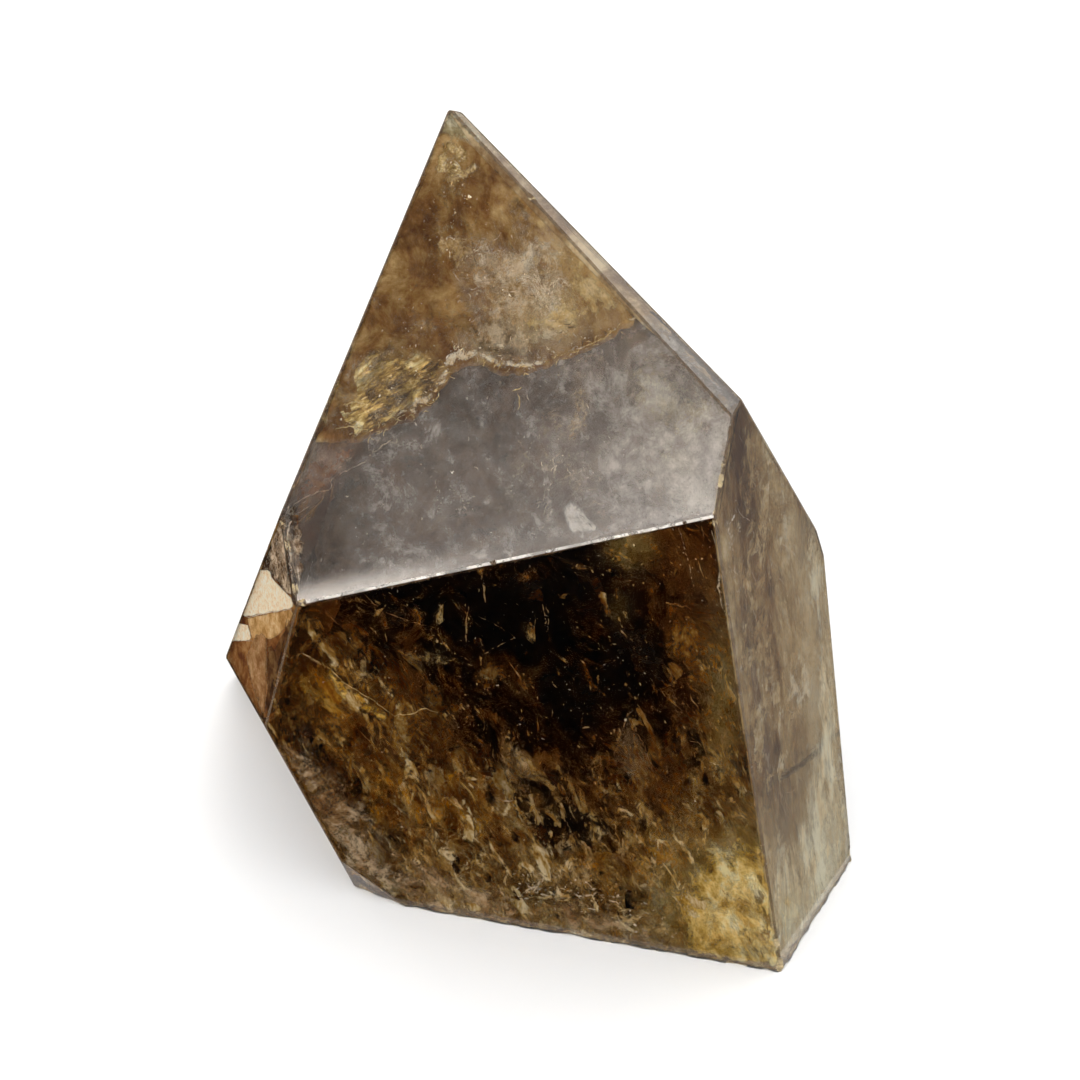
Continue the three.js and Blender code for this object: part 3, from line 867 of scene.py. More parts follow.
CREAM = [(462, 246), (470, 236), (490, 230), (508, 234), (530, 216), (550, 214), (572, 236), (584, 258), (574, 286), (580, 306), (600, 316), (622, 312), (634, 314),
         (622, 327), (604, 341), (582, 351), (560, 359), (537, 369), (515, 371), (492, 366), (472, 360), (452, 352), (446, 338),
         (466, 326), (472, 314), (454, 298), (448, 280), (458, 262)]
view_veil("veil_cream_patch", CREAM, "front_slope", 1.3, 0.4, veil_material(
    "veil_cream", [(0.40, (0.30, 0.18, 0.08)), (0.47, (0.54, 0.39, 0.20)), (0.53, (0.80, 0.64, 0.41)), (0.60, (1, 0.93, 0.76))],
    scale=300, lo=0.40, hi=0.56, amax=0.86, amin=0.18, color_scale=420, web=0.8, web_scale=280, web_width=0.022, web_color=(1.0, 0.89, 0.70), clump=0.4, rough=0.84, detail=8),
    12, step=5, edge=24, ragged=6, rim=F1_RIM,
    tone=lambda p: 0.03 + bumps(p, (500, 262, 30, 30, 0.02), (530, 285, 50, 18, -0.03), (490, 356, 40, 10, 0.04)))
CREAM_GOLD = [(552, 232), (575, 240), (602, 262), (638, 300), (640, 314), (615, 330), (580, 345), (545, 352), (500, 345), (490, 318), (520, 300), (548, 276)]
view_veil("veil_cream_gold", CREAM_GOLD, "front_slope", 0.95, 0.2, veil_material(
    "veil_cream_gold", [(0.40, (0.40, 0.25, 0.08)), (0.47, (0.60, 0.42, 0.165)), (0.53, (0.78, 0.59, 0.27)), (0.61, (0.96, 0.80, 0.46))],
    scale=240, lo=0.40, hi=0.60, amax=0.72, amin=0.16, color_scale=420, web=0.5, web_scale=300, web_width=0.018, web_color=(1.0, 0.90, 0.60), clump=0.4, rough=0.82),
    15, step=5, edge=26, ragged=4, rim=F1_RIM, tone=lambda p: 0.02 + bumps(p, (585, 258, 16, 10, 0.06), (560, 330, 50, 20, 0.03)))
view_veil("veil_cream_web", [(440, 222), (470, 210), (520, 206), (560, 212), (590, 244), (604, 270), (590, 310), (560, 352), (500, 362), (450, 350), (438, 310), (446, 270)],
          "front_slope", 0.7, 0.15, veil_material(
    "veil_cream_web", [(0.42, (0.50, 0.38, 0.24)), (0.50, (0.82, 0.70, 0.50)), (0.58, (1, 0.95, 0.82))], scale=200, lo=0.50, hi=0.62, amax=0.30, color_scale=600,
    web=0.9, web_scale=380, web_width=0.020, web_color=(1.0, 0.91, 0.74), rough=0.8, detail=8), 20, step=5, edge=36, rim=F1_RIM)
curl_cream = line_material("curl_cream", [(0.35, (0.66, 0.53, 0.38)), (0.5, (0.92, 0.80, 0.62)), (0.65, (1.0, 0.96, 0.86))], 0.9, 0.34, 0.52)
curl_gold = line_material("curl_gold", [(0.35, (0.52, 0.34, 0.10)), (0.5, (0.86, 0.65, 0.28)), (0.65, (1.0, 0.90, 0.58))], 0.9, 0.34, 0.52)
curl_brown = line_material("curl_brown", [(0.35, (0.05, 0.028, 0.012)), (0.65, (0.20, 0.11, 0.045))], 0.8, 0.36, 0.54)
fleck_bright = flake_material("fleck_bright", (1.0, 0.88, 0.55), (1.0, 0.98, 0.90), metallic=0.6, rough=0.3)
fleck_pale = flake_material("fleck_pale", (0.86, 0.78, 0.64), (1.0, 0.97, 0.90), metallic=0.6, rough=0.3)
film_gold = veil_material("film_gold", [(0.38, (0.20, 0.10, 0.025)), (0.47, (0.46, 0.29, 0.09)), (0.55, (0.80, 0.60, 0.25)), (0.64, (1, 0.92, 0.62))],
                          scale=620, lo=0.36, hi=0.54, amax=0.9, amin=0.1, color_scale=900, rough=0.82)
film_cream = veil_material("film_cream", [(0.38, (0.42, 0.30, 0.17)), (0.47, (0.68, 0.54, 0.36)), (0.55, (0.92, 0.82, 0.64)), (0.64, (1, 0.97, 0.88))],
                           scale=620, lo=0.36, hi=0.54, amax=0.9, amin=0.1, color_scale=900, rough=0.82)
curls("curls_cream", CREAM, "front_slope", 45, (4, 11), (0.05, 0.11), (0.5, 1.1), curl_cream, 401, turn=1.4)
curls("curls_cream_dark", CREAM, "front_slope", 34, (4, 12), (0.06, 0.16), (0.6, 1.0), curl_brown, 402, turn=1.2)
films("films_cream", CREAM, "front_slope", 110, (0.6, 1.2), (0.12, 0.55), film_cream, 403, spread=0.4)
films("films_upper", [(447, 130), (470, 150), (534, 214), (600, 280), (560, 340), (460, 300), (452, 360), (400, 410), (350, 350), (380, 290), (420, 200)], "front_slope", 150,
      (0.6, 1.6), (0.10, 0.50), film_gold, 404, spread=0.4,
      power=lambda p: np.clip(0.10 + bumps(p, (455, 160, 20, 22, 0.8), (450, 245, 16, 24, 0.7), (545, 222, 24, 16, 0.9), (430, 350, 26, 14, 0.7), (440, 375, 20, 14, 0.7),
                                           (585, 262, 18, 18, 0.9), (425, 215, 14, 16, 0.4)), 0, 1))
fleck_groups("flecks_upper", [
    (455, 165, 2.2, 9), (459, 158, 3, 6), (448, 160, 3, 5), (455, 213, 2.0, 8), (452, 224, 5, 6), (450, 237, 2.2, 7), (449, 252, 2.0, 6), (468, 205, 6, 5), (470, 190, 8, 5),
    (430, 206, 5, 6), (545, 214, 4, 14), (552, 222, 5, 10), (566, 250, 5, 12), (578, 256, 5, 12), (588, 262, 3, 7), (565, 282, 3, 7), (520, 270, 12, 10), (500, 300, 14, 12),
    (545, 310, 14, 10), (455, 344, 4, 9), (462, 352, 4, 8), (412, 318, 6, 4), (416, 336, 8, 6), (385, 300, 12, 5)],
    "front_slope", (0.35, 0.8), (0.08, 0.36), fleck_bright, 405, spread=0.5)
FAN = [(314, 437), (326, 400), (340, 362), (352, 350), (372, 346), (400, 350), (422, 350), (444, 358), (452, 368), (439, 390),
       (421, 410), (399, 421), (376, 430), (359, 438)]
fan = seen(np.array([[330, 430], [420, 380]]), "front_slope", 1.4)
FAN_ROT = grain_rotation(fan[1] - fan[0], PN[NAMES.index("front_slope")])
view_veil("veil_gold_fan", FAN, "front_slope", 1.3, 0.5, veil_material(
    "veil_gold", [(0.42, (0.05, 0.022, 0.004)), (0.49, (0.28, 0.165, 0.036)), (0.55, (0.62, 0.43, 0.12)), (0.62, (1, 0.90, 0.50))],
    scale=760, lo=0.36, hi=0.55, amax=0.95, amin=0.25, rotation=FAN_ROT, stretch=(0.3, 1, 1), color_scale=900,
    glitter=0.45, shine=0.3, bump=0.0001), 13, step=5, edge=10, ragged=3,
    tone=lambda p: bumps(p, (345, 412, 22, 16, 0.08), (372, 366, 16, 14, 0.06), (410, 366, 12, 10, 0.06), (392, 392, 20, 16, -0.06)))
# crumbly rim that follows the jagged line
JAG_LINE = np.array(JAG, float)
up = np.array([[-2, -9], [-2, -8], [-3, -7], [-4, -7], [-4, -8], [-4, -9], [-4, -11], [-4, -12], [-4, -12], [-4, -12], [-5, -13], [-6, -14],
               [-6, -14], [-3, -15], [-1, -14], [0, -14], [0, -13], [0, -12], [0, -10], [0, -9], [0, -8], [0, -7], [0, -6], [0, -6],
               [-1, -6], [-1, -6], [-2, -5], [-2, -5], [-2, -4], [-2, -4]], float)[:len(JAG)]
RIM = np.vstack([JAG_LINE[3:], (JAG_LINE + up)[3:][::-1]])
view_veil("veil_jagged_rim", RIM, "front_slope", 1.0, 0.2, veil_material(
    "veil_rim", [(0.40, (0.34, 0.22, 0.09)), (0.47, (0.62, 0.46, 0.24)), (0.53, (0.88, 0.74, 0.50)), (0.60, (1, 0.96, 0.82))],
    scale=620, lo=0.43, hi=0.54, amax=0.92, amin=0.0, color_scale=800, web=0.9, web_scale=420, web_width=0.028, web_color=(1.0, 0.92, 0.74), rough=0.82, clump=0.4),
    16, step=3.5, edge=4, ragged=3.2, rim=F1_RIM, tone=lambda p: bumps(p, (505, 362, 45, 14, 0.09), (400, 420, 50, 20, -0.02)))
films("films_jagged", RIM, "front_slope", 130, (0.5, 1.0), (0.10, 0.42), film_cream, 406, spread=0.5, tone=lambda p: bumps(p, (400, 420, 50, 20, -0.06)))
curls("curls_jagged_line", [(360, 432), (400, 414), (430, 396), (446, 374), (462, 357), (482, 352), (515, 364), (540, 362), (582, 344), (630, 318), (634, 328),
                            (585, 354), (540, 372), (515, 376), (480, 366), (466, 368), (452, 384), (436, 406), (404, 424), (366, 442)],
      "front_slope", 70, (4, 10), (0.05, 0.11), (0.5, 0.9), curl_gold, 407, turn=1.2, along=-35, spread=0.7)
fleck_groups("flecks_jagged", [(x, y - 4, 3.5, 5) for x, y in JAG[4:28:2]], "front_slope", (0.4, 0.8), (0.06, 0.24), fleck_bright, 408)
fleck_groups("flecks_fan", [(365, 362, 4, 14), (372, 369, 3, 10), (410, 365, 4, 12), (416, 372, 3, 8), (348, 405, 3, 9), (355, 427, 3, 8), (392, 388, 5, 8), (340, 420, 5, 8),
                            (404, 352, 4, 7), (380, 404, 7, 8)], "front_slope", (0.45, 0.9), (0.08, 0.34), fleck_bright, 409, spread=0.5, thin=0.45)

# --- beneath the front slope, below the line
view_veil("veil_lower_deep", F1_LOWER, "front_slope", 7.5, 1.6, veil_material(
    "veil_deep_brown", [(0.36, (0.035, 0.018, 0.01)), (0.5, (0.09, 0.05, 0.028)), (0.64, (0.19, 0.12, 0.07))],
    scale=230, lo=0.2, hi=0.55, amax=0.98, amin=0.75, color_scale=300), 21, deep=4.2, rim=F1_RIM, edge=2)
view_veil("veil_lower_haze", F1_LOWER, "front_slope", 2.4, 0.8, veil_material(
    "veil_haze", [(0.40, (0.17, 0.11, 0.065)), (0.5, (0.38, 0.29, 0.20)), (0.60, (0.70, 0.58, 0.44))],
    scale=260, lo=0.44, hi=0.62, amax=0.65, amin=0.05, color_scale=560, rough=0.8, detail=8), 22, rim=F1_RIM, edge=8,
    density=lambda p: 0.50 + 0.50 * np.clip((p[:, 0] - 330) / 300, 0, 1))
view_veil("veil_reddish_foot", [(283, 500), (300, 460), (316, 438), (352, 440), (372, 446), (350, 462), (338, 480), (326, 498), (304, 505), (287, 512)],
          "front_slope", 2.0, 0.3, veil_material(
    "veil_reddish", [(0.36, (0.12, 0.035, 0.01)), (0.5, (0.24, 0.09, 0.03)), (0.64, (0.42, 0.2, 0.08))],
    scale=300, lo=0.3, hi=0.6, amax=0.85, amin=0.3, color_scale=600), 26, step=5, edge=10)
view_veil("veil_lower_milk", F1_LOWER, "front_slope", 0.7, 0.2, veil_material(
    "veil_milk", [(0.40, (0.27, 0.23, 0.21)), (0.49, (0.47, 0.43, 0.40)), (0.58, (0.82, 0.78, 0.73))],
    scale=260, lo=0.38, hi=0.66, amax=0.66, amin=0.20, color_scale=480, clump=0.4, rough=0.84, detail=8, crisp=0.75), 32, step=7, edge=3, rim=F1_RIM,
    density=lambda p: 0.86 + bumps(p, (315, 545, 34, 60, -0.46), (690, 480, 60, 50, 0.20), (330, 470, 40, 40, -0.28), (480, 400, 40, 25, -0.12), (530, 540, 110, 22, 0.16)),
    tone=lambda p: bumps(p, (700, 500, 26, 16, 0.05), (530, 545, 100, 20, 0.02), (315, 560, 40, 40, -0.03)))
view_veil("veil_lower_mottle", F1_LOWER, "front_slope", 1.3, 0.5, veil_material(
    "veil_mottle", [(0.40, (0.21, 0.15, 0.095)), (0.49, (0.46, 0.37, 0.26)), (0.58, (0.88, 0.78, 0.62))],
    scale=360, lo=0.49, hi=0.65, amax=0.52, color_scale=620, clump=0.5, rough=0.84, detail=8), 28, step=7, edge=4, rim=F1_RIM,
    density=lambda p: 0.78 + bumps(p, (460, 500, 50, 30, 0.15), (570, 490, 40, 40, 0.2), (690, 420, 50, 60, 0.22), (380, 520, 50, 30, 0.1)))
GREEN = [(590, 360), (632, 326), (650, 318), (690, 352), (742, 398), (736, 440), (722, 510), (680, 516), (640, 500), (615, 450), (596, 400)]
view_veil("veil_greenish_cloud", GREEN, "front_slope", 1.2, 0.4, veil_material(
    "veil_greenish", [(0.40, (0.26, 0.20, 0.11)), (0.47, (0.50, 0.43, 0.28)), (0.54, (0.80, 0.73, 0.54)), (0.62, (1, 0.96, 0.82))],
    scale=200, lo=0.36, hi=0.60, amax=0.90, amin=0.20, color_scale=420, clump=0.4, rough=0.84, detail=8, web=0.45, web_scale=300, web_width=0.016, web_color=(1.0, 0.95, 0.80)),
    23, rim=F1_RIM, edge=48, ragged=4,
    tone=lambda p: bumps(p, (700, 430, 30, 50, 0.03), (696, 500, 24, 18, 0.07), (650, 345, 30, 20, -0.04)))
view_veil("veil_pale_corner", [(664, 486), (690, 478), (716, 474), (716, 514), (690, 518), (668, 512)], "front_slope", 0.6, 0.05, veil_material(
    "veil_pale_corner", [(0.40, (0.56, 0.52, 0.42)), (0.49, (0.84, 0.80, 0.70)), (0.58, (1.0, 0.98, 0.92))], scale=360, lo=0.40, hi=0.58, amax=0.85, amin=0.15, color_scale=520,
    rough=0.84, web=0.5, web_scale=360, web_width=0.02), 27, step=4, edge=16, ragged=2)
STREAK = [(556, 354), (604, 336), (612, 368), (604, 402), (596, 432), (584, 450), (570, 466), (552, 494), (538, 488),
          (548, 460), (556, 436), (560, 410), (562, 380)]
view_veil("veil_rosy_streak", STREAK, "front_slope", 1.0, 0.2, veil_material(
    "veil_rosy", [(0.40, (0.34, 0.21, 0.10)), (0.48, (0.60, 0.43, 0.25)), (0.57, (0.92, 0.76, 0.52))], scale=240, lo=0.40, hi=0.60,
    amax=0.7, color_scale=420, rough=0.84, clump=0.4, detail=8), 24, step=4, edge=14, ragged=2)
view_veil("veil_pale_patch", [(563, 508), (570, 500), (576, 503), (584, 512), (600, 530), (590, 534), (572, 535), (565, 524)], "front_slope", 0.55, 0.03, veil_material(
    "veil_pale_spot", [(0.40, (0.50, 0.46, 0.40)), (0.48, (0.80, 0.76, 0.68)), (0.56, (1.0, 0.98, 0.94))], scale=420, lo=0.34, hi=0.52, amax=0.92, amin=0.3, color_scale=620,
    web=0.7, web_scale=420, web_width=0.03, web_color=(1, 0.98, 0.94), rough=0.82), 29, step=2.5, edge=4, ragged=1.0)
view_veil("veil_pale_smear", [(538, 516), (548, 502), (560, 498), (566, 512), (560, 534), (540, 540)], "front_slope", 0.8, 0.05, veil_material(
    "veil_pale_smear", [(0.40, (0.44, 0.39, 0.32)), (0.50, (0.74, 0.68, 0.58)), (0.60, (1.0, 0.96, 0.88))], scale=420, lo=0.46, hi=0.60, amax=0.75, color_scale=620,
    web=0.5, web_scale=420, web_width=0.022, rough=0.82), 30, step=3, edge=8, ragged=1.5)
CRACK_EDGE = [(280, 512), (288, 492), (296, 500), (301, 520), (299, 560), (302, 594), (294, 602), (289, 580), (284, 550)]
view_veil("veil_edge_crackle", CRACK_EDGE, "front_slope", 0.5, 0.05, veil_material(
    "veil_edge_crackle", [(0.40, (0.22, 0.15, 0.10)), (0.5, (0.46, 0.34, 0.24)), (0.60, (1.0, 0.88, 0.72))], scale=520, lo=0.52, hi=0.60, amax=0.4,
    color_scale=700, web=0.7, web_scale=300, web_width=0.014, web_color=(1.0, 0.90, 0.74), rough=0.82), 31, step=3, edge=5, ragged=2)
# the pale layer of the slope ends in dark notches along the ridge to the right face
view_veil("veil_edge_notches", [(738, 396), (730, 406), (723, 424), (726, 436), (716, 445), (721, 457), (712, 470), (708, 480), (715, 489), (711, 504), (717, 518), (724, 500), (742, 400)],
          "front_slope", 0.30, 0.02, veil_material(
    "veil_edge_notches", [(0.40, (0.10, 0.06, 0.035)), (0.5, (0.22, 0.15, 0.09)), (0.60, (0.42, 0.31, 0.20))], scale=420, lo=0.2, hi=0.4, amax=0.95, amin=0.8,
    color_scale=520), 33, step=2.5, edge=1.2, ragged=1.2)
films("films_edge", [(284, 505), (290, 495), (297, 505), (299, 550), (303, 590), (297, 600), (292, 580), (287, 545)], "front_slope", 40, (0.35, 0.6), (0.12, 0.5), film_cream, 410,
      spread=0.5)
WISP = [(286, 504), (302, 490), (330, 478), (340, 464), (368, 446), (378, 430), (390, 436), (384, 452), (366, 468), (344, 482), (334, 494), (304, 508), (288, 518)]
view_veil("veil_wisp", WISP, "front_slope", 0.8, 0.1, veil_material(
    "veil_wisp", [(0.40, (0.30, 0.22, 0.13)), (0.49, (0.62, 0.50, 0.34)), (0.58, (1.0, 0.90, 0.70))], scale=460, lo=0.50, hi=0.60, amax=0.8, color_scale=620, rough=0.82,
    web=0.9, web_scale=360, web_width=0.024, web_color=(1.0, 0.90, 0.70)), 34, step=4, edge=9, ragged=2)
curls("curls_lower", F1_LOWER, "front_slope", 70, (3, 8), (0.04, 0.09), (0.5, 1.6), curl_cream, 412, turn=1.0,
      power=lambda p: np.clip(0.16 + bumps(p, (450, 498, 26, 14, 0.8), (552, 470, 12, 34, 1.0), (690, 440, 26, 50, 0.5), (590, 380, 12, 34, 0.5)), 0, 1))
films("films_lower", F1_LOWER, "front_slope", 150, (0.5, 1.4), (0.08, 0.36), film_cream, 413, spread=0.5,
      power=lambda p: np.clip(0.14 + bumps(p, (450, 498, 26, 14, 0.8), (552, 470, 12, 34, 1.0), (690, 400, 34, 60, 0.6), (590, 380, 12, 34, 0.5), (375, 525, 30, 20, 0.4)), 0, 1),
      tone=lambda p: -0.03 * np.ones(len(p)))
fleck_groups("flecks_lower", [
    (448, 492, 9, 16), (438, 505, 7, 8), (462, 500, 7, 8), (434, 488, 4, 6), (556, 458, 4, 9), (550, 480, 4, 9), (561, 446, 5, 7), (545, 492, 4, 6), (575, 468, 5, 5),
    (378, 556, 14, 8), (520, 530, 12, 7), (345, 525, 14, 7), (398, 560, 12, 6), (610, 470, 18, 9), (650, 440, 16, 9), (690, 480, 14, 10), (640, 372, 12, 9), (676, 400, 12, 9),
    (500, 440, 20, 8), (420, 450, 20, 7), (480, 560, 10, 5), (640, 505, 10, 6), (470, 420, 4, 6), (469, 399, 2, 5), (350, 580, 16, 8), (440, 535, 18, 8), (590, 430, 10, 8)],
    "front_slope", (0.35, 0.7), (0.06, 0.24), fleck_pale, 415)

# --- beneath the front prism face: clouds of golden-brown fibres that run down to the right
fib = seen(np.array([[520, 640], [560, 735]]), "front_prism", 5.0)
FIBRE_ROT = grain_rotation(fib[1] - fib[0], PN[NAMES.index("front_prism")])


def p1_low(p):
    """How dense the clouds are: broken in the dark upper middle, thick towards the base and sides."""
    base = np.clip((p[:, 1] - 640) / 190, 0, 1)
    side = bumps(p, (300, 690, 50, 110, 0.6), (735, 780, 40, 190, 0.5), (672, 555, 30, 34, 0.2), (380, 690, 50, 50, 0.3), (585, 560, 20, 30, 0.25))
    hole = bumps(p, (500, 622, 80, 34, 0.22, -12), (562, 712, 26, 36, 0.22), (690, 578, 24, 34, 0.5), (545, 590, 14, 40, 0.2))
    return np.clip(0.68 + 0.32 * base + side - hole, 0, 1)


P1_COLORS = [(0.34, (0.085, 0.028, 0.003)), (0.44, (0.20, 0.082, 0.012)), (0.53, (0.40, 0.22, 0.055)), (0.61, (0.66, 0.47, 0.19)), (0.70, (0.95, 0.82, 0.52))]


def p1_tone_and_glow(p):
    """Deep red-brown above, golden below and in the right corner. The rise to gold towards the base is painted glow,
    standing in for light that gathers at the foot; the soft spots are the stone's own tone.
    """
    return -0.13 + 0.15 * np.clip((p[:, 1] - 720) / 150, 0, 1) + bumps(
        p, (700, 900, 60, 50, 0.04), (632, 548, 30, 20, 0.10), (372, 690, 40, 30, 0.06), (437, 658, 24, 12, 0.10), (505, 790, 40, 30, 0.05),
        (725, 700, 14, 60, 0.03), (340, 880, 60, 20, 0.03), (690, 580, 28, 40, -0.06))


for i, (dep, lo, hi, am, sc, st, cl, rough) in enumerate([
        (0.9, 0.560, 0.62, 0.75, 700, 0.40, 0.4, 0.72),      # sparse crisp fibres
        (1.5, 0.51, 0.60, 0.6, 420, 0.60, 0.6, 0.80),      # fine mottling
        (2.8, 0.49, 0.60, 0.8, 240, 0.60, 0.6, 0.80),
        (4.6, 0.55, 0.61, 0.85, 500, 0.34, 0.5, 0.72),    # deeper fibres
        (6.5, 0.47, 0.62, 0.9, 180, 0.65, 0.7, 0.76),
        (11.0, 0.42, 0.66, 0.95, 140, 0.7, 0.6, 0.70)]):
    mat = veil_material(f"veil_fibre_{i}", P1_COLORS, scale=sc, lo=lo, hi=hi, amax=am, rotation=FIBRE_ROT,
                        stretch=(st, 1.0, 1.0), shift=(i * 2.7, i * 1.3, 0), distortion=0.7, clump=cl, rough=rough,
                        color_scale=max(260, sc * 0.9), crisp=1.4)
    view_veil(f"veil_fibre_{i}", P1_ALL, "front_prism", dep, 0.35 * dep ** 0.6, mat, 40 + i, step=8, edge=3, density=p1_low,
              rim=P1_RIM, rim_px=24 + 4 * i, tone=lambda p, k=i: p1_tone_and_glow(p) + (0.10 if k in (0, 3) else 0.0))
view_veil("veil_amber", P1_ALL, "front_prism", 3.0, 0.8, veil_material(
    "veil_amber", [(0.34, (0.16, 0.05, 0.003)), (0.46, (0.38, 0.145, 0.012)), (0.56, (0.64, 0.31, 0.035)), (0.68, (0.95, 0.62, 0.16))],
    scale=300, lo=0.34, hi=0.66, amax=0.85, rotation=FIBRE_ROT, stretch=(0.5, 1, 1), color_scale=500), 50, step=8, edge=3,
    density=lambda p: np.clip(bumps(p, (335, 690, 40, 45, 1.0), (420, 790, 60, 45, 0.9), (560, 850, 90, 40, 0.6), (690, 870, 60, 70, 0.7)), 0, 1))
view_veil("veil_mauve", P1_ALL, "front_prism", 1.3, 0.3, veil_material(
    "veil_mauve", [(0.38, (0.10, 0.045, 0.016)), (0.47, (0.24, 0.125, 0.050)), (0.56, (0.44, 0.28, 0.14)), (0.66, (0.80, 0.62, 0.40))],
    scale=240, lo=0.42, hi=0.60, amax=0.8, color_scale=480, rough=0.82, detail=8), 51, step=8, edge=3,
    density=lambda p: np.clip(bumps(p, (345, 850, 50, 40, 1.2), (380, 880, 50, 20, 0.8), (470, 905, 90, 20, 1.0), (515, 765, 24, 32, 0.6), (300, 780, 26, 80, 1.0, -25), (620, 935, 60, 14, 0.8, 8)), 0, 1),
    rim=P1_RIM, rim_px=50, tone=lambda p: 0.03 + bumps(p, (345, 855, 40, 30, 0.07), (410, 880, 50, 18, 0.09), (620, 935, 60, 14, 0.09, 8)))
view_veil("veil_olive_gold", P1_ALL, "front_prism", 1.5, 0.4, veil_material(
    "veil_olive", [(0.40, (0.36, 0.205, 0.038)), (0.47, (0.66, 0.45, 0.115)), (0.54, (0.94, 0.72, 0.27)), (0.62, (1, 0.93, 0.56))],
    scale=240, lo=0.38, hi=0.56, amax=0.94, amin=0.22, clump=0.3, rough=0.84, rotation=FIBRE_ROT, stretch=(0.6, 1, 1), color_scale=420, detail=8), 52, step=7, edge=3,
    density=lambda p: np.clip(bumps(p, (756, 930, 42, 44, 1.6), (720, 900, 40, 40, 0.6), (722, 700, 12, 50, 0.3), (632, 546, 14, 12, 0.5), (618, 608, 6, 8, 0.28)), 0, 1),
    rim=P1_RIM, rim_px=44, tone=lambda p: bumps(p, (770, 950, 26, 26, 0.07), (745, 900, 30, 30, 0.03), (618, 608, 10, 12, -0.08), (632, 546, 16, 14, -0.05)))
view_veil("veil_gold_corner", [(700, 900), (728, 868), (764, 850), (776, 900), (784, 968), (760, 966), (720, 958), (690, 946)], "front_prism", 0.8, 0.2, veil_material(
    "veil_gold_corner", [(0.40, (0.56, 0.35, 0.095)), (0.47, (0.86, 0.63, 0.22)), (0.54, (1, 0.84, 0.42)), (0.62, (1, 0.95, 0.66))],
    scale=300, lo=0.40, hi=0.56, amax=0.9, amin=0.06, rough=0.84, rotation=FIBRE_ROT, stretch=(0.6, 1, 1), color_scale=420, detail=8), 54, step=5, edge=18, ragged=4,
    rim=P1_RIM, rim_px=36, tone=lambda p: 0.01 + bumps(p, (768, 945, 22, 26, 0.08)))
view_veil("veil_brown_cloud", P1_ALL, "front_prism", 2.0, 0.6, veil_material(
    "veil_brown_cloud", [(0.38, (0.075, 0.034, 0.007)), (0.47, (0.21, 0.11, 0.031)), (0.56, (0.43, 0.27, 0.095)), (0.66, (0.80, 0.62, 0.33))],
    scale=150, lo=0.47, hi=0.58, amax=0.66, clump=0.4, rough=0.84, rotation=FIBRE_ROT, stretch=(0.5, 1, 1), color_scale=360, detail=8, distortion=0.8), 53, step=8, edge=3,
    rim=P1_RIM, density=lambda p: np.clip(0.66 + 0.3 * np.clip((p[:, 1] - 700) / 160, 0, 1) + bumps(p, (500, 622, 80, 34, -0.14, -12), (590, 560, 16, 20, 0.3), (330, 640, 40, 30, 0.1)), 0, 1),
    tone=lambda p: bumps(p, (310, 690, 50, 60, -0.05), (350, 820, 50, 60, 0.02), (560, 870, 120, 30, 0.03), (430, 890, 60, 20, 0.05)))
curl_tan = line_material("curl_tan", [(0.35, (0.22, 0.12, 0.045)), (0.5, (0.46, 0.30, 0.13)), (0.65, (0.84, 0.66, 0.38))], 0.9, 0.36, 0.54)
P1_IN = [(306, 612), (708, 528), (768, 950), (640, 932), (410, 890), (366, 872), (282, 724)]
film_brown = veil_material("film_brown", [(0.36, (0.09, 0.034, 0.006)), (0.46, (0.24, 0.12, 0.026)), (0.55, (0.48, 0.295, 0.092)), (0.66, (0.88, 0.70, 0.36))],
                           scale=420, lo=0.38, hi=0.56, amax=0.85, amin=0.05, rotation=FIBRE_ROT, stretch=(0.5, 1, 1), color_scale=700, rough=0.82)
film_dark = veil_material("film_dark", [(0.40, (0.006, 0.002, 0.001)), (0.60, (0.045, 0.016, 0.004))], scale=300, lo=0.34, hi=0.50, amax=0.97, amin=0.3,
                          color_scale=500, rough=0.8)
FIBRE_PX = ((520, 640), (560, 735))
films("films_prism", P1_IN, "front_prism", 420, (0.8, 5.0), (0.40, 2.2), film_brown, 421, spread=0.5, thin=(0.2, 0.6), along_px=FIBRE_PX, power=p1_low,
      tone=lambda p: p1_tone_and_glow(p) * 0.6 + 0.01)
films("films_prism_fine", P1_IN, "front_prism", 520, (0.6, 3.0), (0.14, 0.7), film_brown, 422, spread=0.7, thin=(0.15, 0.5), along_px=FIBRE_PX, power=p1_low,
      tone=lambda p: p1_tone_and_glow(p) * 0.6 + 0.06)
films("films_prism_dark", P1_IN, "front_prism", 90, (0.7, 1.6), (0.5, 2.2), film_dark, 423, spread=0.3, thin=(0.35, 0.8), along_px=FIBRE_PX,
      power=lambda p: np.clip(0.12 + 0.3 * np.clip((p[:, 1] - 690) / 100, 0, 1) - bumps(p, (750, 920, 50, 50, 0.6)), 0, 1))
curls("curls_prism", P1_IN, "front_prism", 110, (5, 22), (0.04, 0.10), (0.7, 3.5), curl_tan, 428, along=66, spread=0.5, turn=0.5,
      power=lambda p: np.clip(0.35 + 0.5 * np.clip((p[:, 1] - 640) / 200, 0, 1) + bumps(p, (690, 600, 30, 80, 0.5), (590, 560, 30, 30, 0.4)), 0, 1))
